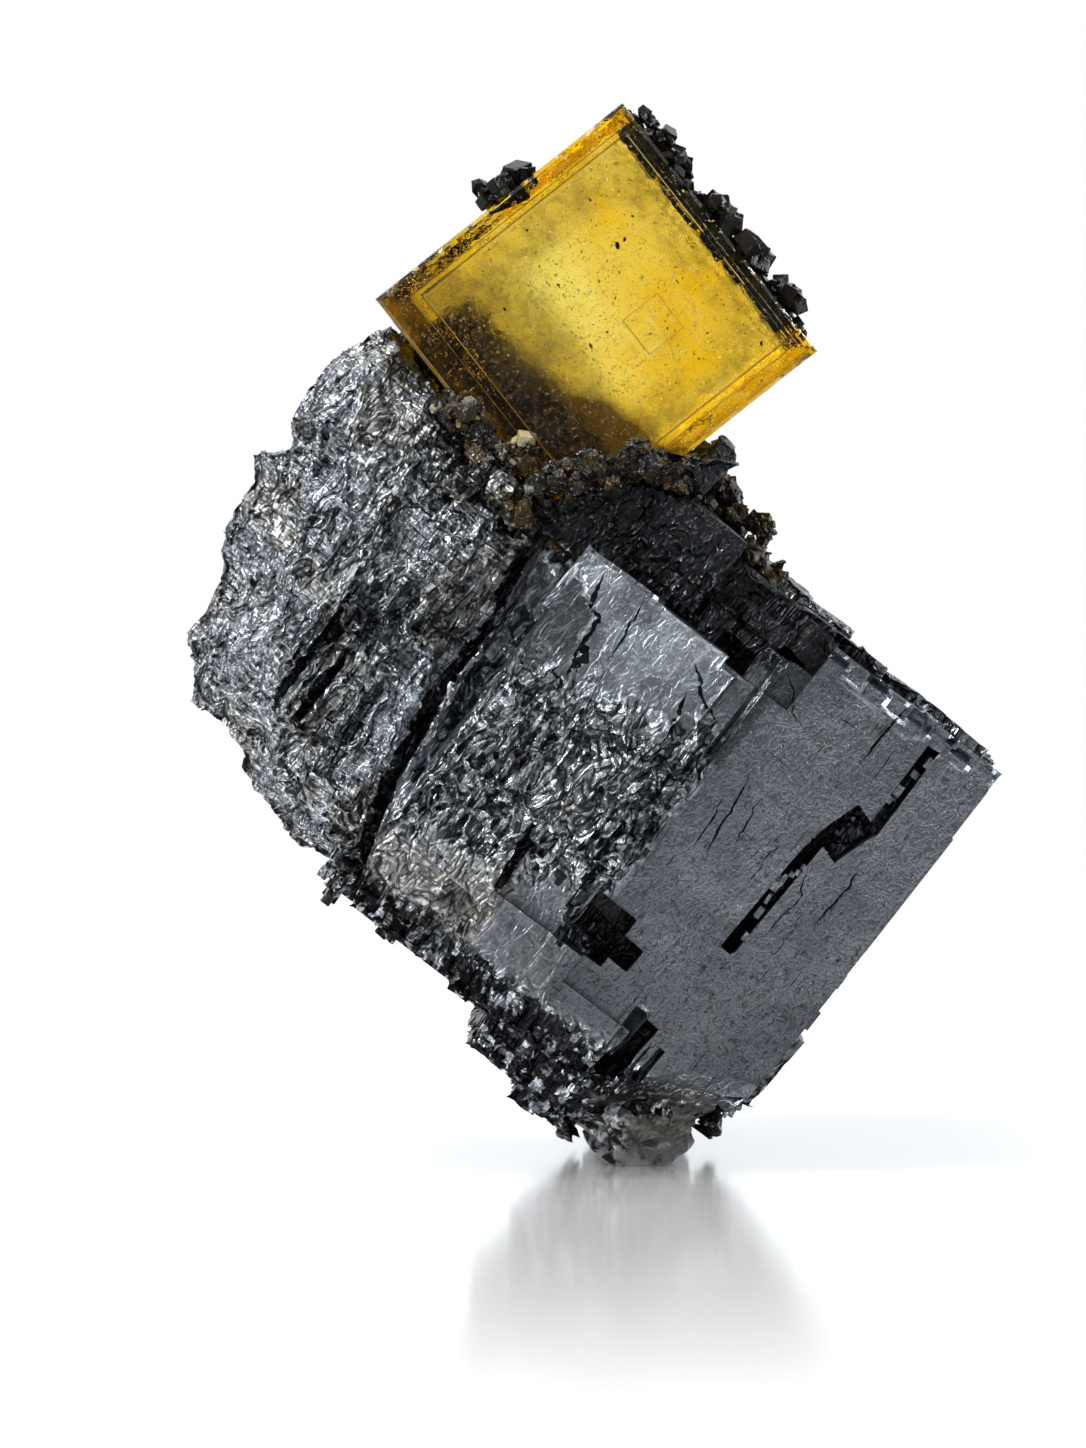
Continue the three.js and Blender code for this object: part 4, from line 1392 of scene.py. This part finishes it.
    def ribbon(self, line: Crack, trees: Sequence[BVHTree], points: list, faces: list) -> None:
        """Adds one jagged tapering ribbon that lies on the surface behind a line.

        Args:
            line: where it runs and how wide it is.
            trees: the surfaces that it may lie on.
            points: the mesh's places so far, which it adds to.
            faces: the mesh's faces so far, which it adds to.
        """
        corners = np.array(line.points)
        runs = np.linalg.norm(np.diff(corners, axis=0), axis=1)
        total = runs.sum()
        count = max(4, int(total / 0.3))
        drift = 0.0
        rows = []
        for i in range(count + 1):
            place = total * i / count
            stretch = min(int(np.searchsorted(np.cumsum(runs), place)), len(runs) - 1)
            share = (place - runs[:stretch].sum()) / runs[stretch]
            spot = corners[stretch] * (1 - share) + corners[stretch + 1] * share
            way = (corners[stretch + 1] - corners[stretch]) / runs[stretch]
            side = np.array((way[1], -way[0]))
            if self.rng.random() < 0.3:
                drift = self.rng.normal(0, 0.12)
            taper = min(1, 4 * i / count, 4 * (count - i) / count)
            half = 0.5 * line.width * self.rng.uniform(0.35, 1.0) * taper
            rows.append([self.land(spot + side * (drift + s * max(half, 0.01)), trees) for s in (-1, 1)])
        if any(spot is None for row in rows for spot in row):
            return
        first = len(points)
        points.extend(spot for row in rows for spot in row)
        faces.extend((i, i + 1, i + 3, i + 2) for i in range(first, first + 2 * count, 2))

    @staticmethod
    def land(spot: np.ndarray, trees: Sequence[BVHTree]) -> Vector | None:
        """Returns the place on the front surface behind a spot, or nothing where there is none."""
        start = Vector((spot[0] * MM, RAY_START, spot[1] * MM))
        found = [hit for hit in (tree.ray_cast(start, Vector((0, 1, 0)))[0] for tree in trees) if hit]
        if not found:
            return None
        return min(found, key=lambda hit: hit.y) - Vector((0, LINE_LIFT, 0))

    def build(self, material: bpy.types.Material, black: bpy.types.Material) -> None:
        """Makes the galena and hides the CAD solid that it stands for.

        Args:
            material: the metal.
            black: the black of the hairline ribbons, painted shade of the cracks.
        """
        left = self.skin(Side.LEFT, self.left_cell)
        right = self.skin(Side.RIGHT, self.right_cell)
        for made in (left, right):
            made.data.materials.append(material)
        own = GALENA_AXES.local(places(right)) / MM
        zones = self.zones(own)
        high = smooth(3.0, 6.0, places(right)[:, 2] / MM)
        flat = smooth(0.88, 0.95, np.abs(directions(right) @ GALENA_AXES.axes().T).max(axis=1))
        rough = (0.25 * zones["broken"] + zones["lower"] * (1 - zones["calm"])) * high * flat
        rest = (1 - zones["calm"]) * (1 - zones["recess"]) * (1 - zones["broken"]) * high * flat
        self.chips(right, rough, self.broken_blocks, material)
        self.chips(right, rest, self.level_blocks, material)
        self.rubble((left, right), material)
        self.hairlines((left, right), black)
        for made in (left, right):
            settle(made, "galena", self.smooth_angle)


# The fluorite


@dataclass
class FluoriteCube:
    """The honey-yellow cube: flat faces with low terraces, chipped edges, a pitted back and inclusions."""

    cell: float = 0.42
    seed: int = 5
    smooth_angle: float = 22
    grain_count: int = 800
    sparkle_count: int = 420
    speck_count: int = 900
    grain_depth: float = -12.3
    gold_spots: tuple[tuple[float, float, float], ...] = (
        (3.5, -8.2, 4.6),
        (-7.6, -8.0, 2.6),
        (6.8, -0.1, 3.4),
        (8.5, -5.0, 3.0),
    )
    # spots of darker brown: across, up, reach and amount
    brown_patches: tuple[tuple[float, float, float, float], ...] = (
        (-10.6, -6.4, 1.9, 0.42),
        (-9.5, -10.6, 1.8, 0.34),
        (-11.2, 3.4, 2.6, 0.34),
        (-10.6, -1.0, 2.4, 0.26),
        (5.6, -4.6, 1.6, 0.26),
        (9.6, -10.4, 2.2, 0.16),
        (15.2, 2.0, 1.0, 0.5),
        (15.0, -6.0, 0.8, 0.4),
        (14.8, 8.5, 1.2, 0.6),
        (-15.0, 8.0, 1.0, 0.5),
    )
    blots: tuple[tuple[float, float, float], ...] = (
        (-3.3, 92.3, 0.9),
        (-2.6, 92.9, 0.6),
        (-5.9, 82.3, 0.7),
        (4.8, 81.1, 0.5),
        (11.0, 82.6, 0.6),
        (-12.3, 93.8, 0.6),
        (-1.8, 95.2, 0.4),
        (-9.2, 88.4, 0.45),
        (2.6, 88.8, 0.35),
        (-14.5, 86.0, 0.5),
        (6.6, 87.4, 0.3),
        (-6.0, 96.8, 0.4),
    )

    def __post_init__(self) -> None:
        """Prepares the repeatable noise."""
        self.noise = Noise(self.seed)
        self.rng = np.random.default_rng(self.seed)

    def crystal(self, material: bpy.types.Material) -> bpy.types.Object:
        """Makes the cube itself."""
        made = copy_of_node("fluorite_cube", "fluorite_crystal")
        move_to(made, FLUORITE_AXES.local(places(made)) / MM)
        points = places(made)
        reach = float(np.max(points.max(axis=0) - points.min(axis=0)))
        remesh(made, reach, self.cell, 8)
        own = places(made)
        normals = directions(made)
        sizes = np.sort(np.abs(own), axis=1)
        edge = HALF_EDGE - sizes[:, 1]
        u, v, y = own.T
        back = smooth(15.0, 15.4, y)
        pits = self.noise.fractal(own / 0.95, 2)
        swell = self.noise.fractal(own / 4.0, 2)
        chip = smooth(0.30, 0.36, self.noise.fractal(own / 1.5 + 7, 2)) * (1 - smooth(0.4, 0.9, edge))
        inner = np.maximum(np.abs(u + 0.1), np.abs(v + 1.2))
        square = np.maximum(np.abs(u - 3.4), np.abs(v + 4.5)) + self.noise.smooth(own / 4) * 0.2
        terrace = 0.06 * (inner > 12.95) + 0.04 * (inner > 13.6) + 0.05 * (square > 2.1) * (square < 2.5)
        depth = 0.03 * (swell + 0.5) + 0.32 * chip + terrace * (y < -14)
        depth += back * np.clip(0.14 + 0.18 * pits, 0, 1) + (1 - back) * 0.02 * np.clip(pits, 0, 1)
        move_to(made, own - normals * np.maximum(depth, 0)[:, None])
        drift = self.noise.fractal(own * (1, 1, 0) / 5.5, 3) * 3.5
        low_corner = smooth(5.2, 8.4, v + 0.42 * u + drift * 0.5) * smooth(-4.0, 3.0, u)
        haze = band(inner, 8.9, 12.7, 1.0) * (1 - smooth(0, 5, v))
        haze = haze + 0.8 * smooth(0, 6, v + drift) * (inner < 12.9)
        clear = 0.3 * smooth(4, 12, -u) * band(v, 8, 12.5, 1)
        # darker brown over the lower part, along three edges of the front and in patches
        browning = 0.8 * smooth(0.8, 7.0, v + 0.17 * u - 0.6 + drift) * (1 - clear)
        browning += 0.45 * low_corner + 0.25 * smooth(12.0, 13.2, v) + 0.62 * smooth(14.1, 15.0, u)
        browning = np.clip(browning + 0.5 * smooth(12.9, 14.0, -u) * smooth(0.1, 1.4, drift), 0, 1)
        mottle = np.clip(0.9 + 1.6 * self.noise.fractal(own / 1.8 + 3, 2), 0.2, 1.6)
        for x, z, reach, amount in self.brown_patches:
            browning = np.maximum(browning, amount * mottle * near(u, v, (x, z), reach))
        spots = sum(near(u, v, (x, z), reach) for x, z, reach in self.gold_spots)
        golden = np.clip(spots + self.noise.fractal(own / 2.2, 2) * 0.5, 0, 0.9)
        amber = np.maximum(smooth(12.6, 13.2, inner), golden)
        pale = np.exp(-((v - 0.3) / 3.6) ** 2) * band(u, -9.5, 8.0, 2.5)
        paint(made, "pale", np.clip(pale + 0.35 * smooth(-10, 0, -v) * smooth(-2, 5, -u), 0, 1))
        paint(made, "haze", np.clip(haze + 0.1, 0, 1))
        paint(made, "browning", browning)
        paint(made, "amber", amber)
        move_to(made, FLUORITE_AXES.world(places(made) * MM))
        made.data.materials.append(material)
        return made

    def inclusions(
        self,
        black: bpy.types.Material,
        dust: bpy.types.Material,
        gold: bpy.types.Material,
    ) -> None:
        """Sets black grains behind the front face, and brown dust and gold sparkles at the lower left."""
        gem = Template.gem()
        grains = Pile()
        for x, z, size in self.blots:
            centre = np.array((x, self.grain_depth, z)) * MM
            grains.add(gem, centre, tumbled(self.rng), np.array((1.0, 0.5, 0.6)) * size * MM)
        for _ in range(self.speck_count):
            own = np.append(self.rng.uniform(-12.5, 12.5, 2), self.rng.uniform(-14.5, -6)) * MM
            size = self.rng.uniform(0.10, 0.38)
            spot = FLUORITE_AXES.world(own)
            grains.add(gem, spot, tumbled(self.rng), np.array((1.0, 0.35, 0.35)) * size * MM)
        settle(grains.finish("fluorite_black_grains", black), "fluorite_cube")
        cloud = Pile()
        for _ in range(self.grain_count):
            u = self.rng.uniform(-13, 13)
            v = 13.2 - abs(self.rng.normal(0, 3.4))
            spot = FLUORITE_AXES.world(self.pull((u, v, self.rng.uniform(-13.5, 10))) * MM)
            size = self.rng.uniform(0.10, 0.26)
            cloud.add(gem, spot, tumbled(self.rng), np.array((1.0, 0.8, 0.8)) * size * MM)
        settle(cloud.finish("fluorite_dust", dust), "fluorite_cube")
        sparkles = Pile()
        for _ in range(self.sparkle_count):
            u = self.rng.uniform(-12.5, 12)
            v = 12.5 - abs(self.rng.normal(0, 4.5))
            spot = FLUORITE_AXES.world(np.array((u, v, self.rng.uniform(-15.2, -13.8))) * MM)
            size = self.rng.uniform(0.08, 0.22)
            sparkles.add(gem, spot, tumbled(self.rng), [size * MM] * 3)
        settle(sparkles.finish("fluorite_sparkles", gold), "fluorite_cube")

    @staticmethod
    def pull(own: Sequence[float]) -> np.ndarray:
        """Returns a place that is kept well inside the cube, clear of its bevelled back."""
        inside_cube = np.clip(np.array(own), -13.4, 13.4)
        side_limit = 13.4 - max(0.0, inside_cube[2] - 9)
        inside_cube[:2] = np.clip(inside_cube[:2], -side_limit, side_limit)
        return inside_cube

    def build(
        self,
        clear: bpy.types.Material,
        black: bpy.types.Material,
        dust: bpy.types.Material,
        gold: bpy.types.Material,
    ) -> None:
        """Makes the cube and what is inside it.

        Args:
            clear: the fluorite.
            black: the grains.
            dust: the brown dust.
            gold: the sparkles.
        """
        settle(self.crystal(clear), "fluorite_cube", self.smooth_angle)
        self.inclusions(black, dust, gold)


# The small crystals


@dataclass
class SphaleriteGroups:
    """Black crystal groups on the cube's upper edges, partly grown into it, and a row of them between."""

    seed: int = 21
    row_count: int = 210
    sunk_count: int = 5
    corner_count: int = 9
    group_count: int = 34
    sunk: tuple[tuple[float, float], ...] = (
        (-13.6, 2.6),
        (-11.3, 3.4),
        (-8.1, 3.0),
        (-5.3, 4.2),
        (-0.8, 3.6),
        (2.6, 3.2),
        (5.9, 3.4),
        (9.0, 3.0),
    )

    def __post_init__(self) -> None:
        """Prepares the templates."""
        self.rng = np.random.default_rng(self.seed)
        self.shapes = [Template.cube(0.05) for _ in range(3)]
        self.shapes += [Template.shard(self.rng) for _ in range(5)]

    def grow(self, pile: Pile, centre: np.ndarray, size: float) -> None:
        """Adds one angular crystal, its size in millimetres."""
        shape = self.shapes[self.rng.integers(len(self.shapes))]
        sizes = np.array((1.0, self.rng.uniform(0.5, 0.9), self.rng.uniform(0.35, 0.8))) * size * MM
        pile.add(shape, centre, tumbled(self.rng), sizes)

    def build(self, material: bpy.types.Material) -> None:
        """Makes every group, then the row along the upper right face and the crystals sunk in the cube."""
        rng = self.rng
        for name in nodes_named("sphalerite"):
            base = copy_of_node(name, name + "_crystals")
            count = len(base.data.vertices)
            spots, facings = seats(base, np.ones(count), min(self.group_count, count), rng)
            middle = places(base).mean(axis=0)
            bpy.data.objects.remove(base)
            pile = Pile()
            for spot, facing in zip(spots, facings):
                size = rng.uniform(1.0, 2.8)
                own = FLUORITE_AXES.local(spot - facing * size * (0.5 if "edge" in name else 0.3) * MM)
                if "edge" in name:
                    own[1] = max(own[1], (-17.9 + size * 0.42) * MM)
                centre = FLUORITE_AXES.world(own)
                self.grow(pile, centre + (middle - centre) * 0.05, size)
            settle(pile.finish(name + "_crystals", material), name)
        row = Pile()
        for _ in range(self.row_count):
            own = np.array((rng.uniform(-14.6, 13.6), -HALF_EDGE, rng.uniform(-13.6, -5.0))) * MM
            self.grow(row, FLUORITE_AXES.world(own), rng.uniform(0.5, 1.6))
        for start, length in self.sunk:
            for _ in range(self.sunk_count):
                size = np.array((length * rng.uniform(0.5, 1.0), rng.uniform(1.6, 2.3), rng.uniform(1.5, 4.0)))
                along = start + size[0] / 2 + rng.uniform(0, length - size[0])
                own = np.array((along, -15.6 + size[1] / 2, rng.uniform(-13.6, -8.0))) * MM
                turned = tilted(FLUORITE_AXES.axes(), rng, (5, 5, 4))
                row.add(self.shapes[0], FLUORITE_AXES.world(own), turned, size * MM)
        settle(row.finish("sphalerite_row", material), "sphalerite_edge_1")
        corner = Pile()
        for _ in range(self.corner_count):
            own = (rng.uniform(-17.2, -14.9), rng.normal(-2.4, 1.1), rng.uniform(-14.0, -10.5))
            self.grow(corner, FLUORITE_AXES.world(np.array(own) * MM), rng.uniform(1.6, 2.8))
        settle(corner.finish("sphalerite_corner", material), "sphalerite_left")


class Crust(Pile):
    """A pile of crystals, each with its own tone."""

    def __init__(self) -> None:
        """Starts empty."""
        super().__init__()
        self.tones: list[np.ndarray] = []

    def tone(self, template: Template, value: float) -> None:
        """Gives the crystal that was added last its tone."""
        self.tones.append(np.full(len(template.points), value))

    def finish(self, name: str, material: bpy.types.Material) -> bpy.types.Object:
        """Makes the mesh object, with the tones that its material reads."""
        piece = super().finish(name, material)
        paint(piece, "tone", np.concatenate(self.tones))
        return piece


@dataclass
class ContactCrust:
    """The druse of small clear, brown and black crystals round the foot of the cube."""

    seed: int = 33
    bed_cell: float = 0.00045
    left_share: float = 1.10
    front_share: float = 0.54
    other_share: float = 0.9
    back_share: float = 0.72
    density: float = 1.5
    back_count: int = 900
    foot_count: int = 340

    def build(self, material: bpy.types.Material) -> None:
        """Makes a rough bed and a crust of crystals for each CAD solid."""
        rng = np.random.default_rng(self.seed)
        noise = Noise(self.seed)
        block, gem = Template.cube(0.06), Template.shard(rng)
        shares = {"druse_left": self.left_share, "druse_front": self.front_share}
        for name in nodes_named("druse"):
            share = shares.get(name, self.other_share)
            bed = copy_of_node(name, name + "_bed")
            remesh(bed, max(bed.dimensions), self.bed_cell, 6)
            own = places(bed)
            depth = 0.25 + 0.5 * noise.fractal(own / MM / 1.4, 3) + 0.9 * (name == "druse_right")
            move_to(bed, own - directions(bed) * (np.clip(depth, 0, 1.6) * MM)[:, None])
            paint(bed, "tone", np.clip(0.25 + noise.fractal(own / MM / 1.2, 2) * 0.9, 0, share))
            bed.data.materials.append(material)
            settle(bed, name)
            count = len(bed.data.vertices)
            spots, facings = seats(bed, np.ones(count), int(count * 0.16 * self.density), rng)
            pile = Crust()
            for spot, facing in zip(spots, facings):
                size = min(rng.lognormal(-0.35, 0.5), 2.4) * MM
                shape = block if rng.random() < 0.6 else gem
                sizes = np.array((1.0, rng.uniform(0.5, 0.9), rng.uniform(0.35, 0.9))) * size
                pile.add(shape, spot - facing * size * 0.12, tumbled(rng), sizes)
                pile.tone(shape, rng.random() * share)
            settle(pile.finish(name + "_crystals", material), name)
        self.back_crust(material, rng)

    def back_crust(self, material: bpy.types.Material, rng: np.random.Generator) -> None:
        """Grows dark crystals over the cube's lower left side and the lower part of its back."""
        block, gem = Template.cube(0.06), Template.shard(rng)
        pile = Crust()
        for i in range(self.back_count + self.foot_count):
            if i >= self.back_count:
                low = abs(rng.normal(0, 3.2))
                own = (15.9 - low, rng.uniform(13.6, 16.8), rng.uniform(-16.6, -15.8))
                own = own if rng.random() < 0.55 else (own[1], own[0], own[2])
            elif rng.random() < 0.6:
                own = (rng.uniform(-10, 12.5), 12.8 - abs(rng.normal(0, 1.7)), 15.75)
            else:
                own = (rng.uniform(-9, 14), 15.75, rng.uniform(-6, 12.4))
            shape = block if rng.random() < 0.5 else gem
            sizes = np.array((1.0, rng.uniform(0.6, 1.0), rng.uniform(0.5, 0.9)))
            sizes = sizes * rng.uniform(0.4, 1.3) * MM
            centre = FLUORITE_AXES.world(np.array(own) * MM)
            pile.add(shape, centre, tumbled(rng), sizes)
            pile.tone(shape, rng.random() * self.back_share)
        settle(pile.finish("druse_back_crystals", material), "druse_left")


@dataclass
class HostRock:
    """The grey-brown rock at the tip and the back, on which the galena grew."""

    cell: float = 0.36
    seed: int = 44
    smooth_angle: float = 26

    def build(self, material: bpy.types.Material) -> None:
        """Makes the rock with lumps, ledges and pits, and leaves its foot flat."""
        noise = Noise(self.seed)
        rock = copy_of_node("host_rock", "host_rock_mass")
        remesh(rock, max(rock.dimensions), self.cell * MM, 7)
        spots = places(rock)
        own = spots / MM
        lumps = noise.fractal(own / 4.5, 3)
        ledges = noise.bricks(own + noise.smooth(own / 3)[:, None], (1.8, 2.2, 1.3))
        slits = np.exp(-(noise.fractal(own / 2.2 + 5, 2) / 0.07) ** 2)
        low = 1 - smooth(0.5, 5.0, own[:, 2])
        depth = 0.9 * np.clip(0.4 - lumps, 0, 1) + 0.45 * ledges + 0.4 * slits + 0.5 * low
        depth *= smooth(0.02, 0.8, own[:, 2])
        sunk = spots - directions(rock) * (depth * MM)[:, None]
        lift = np.clip((-3.5 - own[:, 0]) * 0.7, 0, 2.0) + np.clip((own[:, 0] - 1.8) * 0.75, 0, 2.3)
        sunk[:, 2] += lift * (1 - smooth(1.5, 7.0, own[:, 2])) * MM
        sunk[:, 0] -= 1.5 * smooth(5.0, 6.2, -own[:, 0]) * band(own[:, 2], 1.6, 6.4, 1.4) * MM
        move_to(rock, within_box(sunk))
        rock.data.materials.append(material)
        settle(rock, "host_rock", self.smooth_angle)


def main() -> None:
    """Builds the scene in order and reports each piece."""
    logging.basicConfig(level=logging.INFO, format="%(message)s")
    Studio().build()
    black = SphaleriteFinish().make()
    crust = CrustFinish("druse").make()
    # the black of the hairline ribbons: painted shade of fine cracks
    dark_and_shade = SphaleriteFinish("crack_black", (0.002, 0.002, 0.0025), (0.003, 0.003, 0.0035)).make()
    GalenaMass().build(GalenaFinish().make(), dark_and_shade)
    sparkle = DustFinish("fluorite_sparkle", (0.75, 0.5, 0.08), (1.0, 0.8, 0.3)).make()
    FluoriteCube().build(FluoriteFinish().make(), black, DustFinish().make(), sparkle)
    SphaleriteGroups().build(black)
    ContactCrust().build(crust)
    HostRock().build(HostRockFinish().make())


if __name__ == "__main__":
    main()
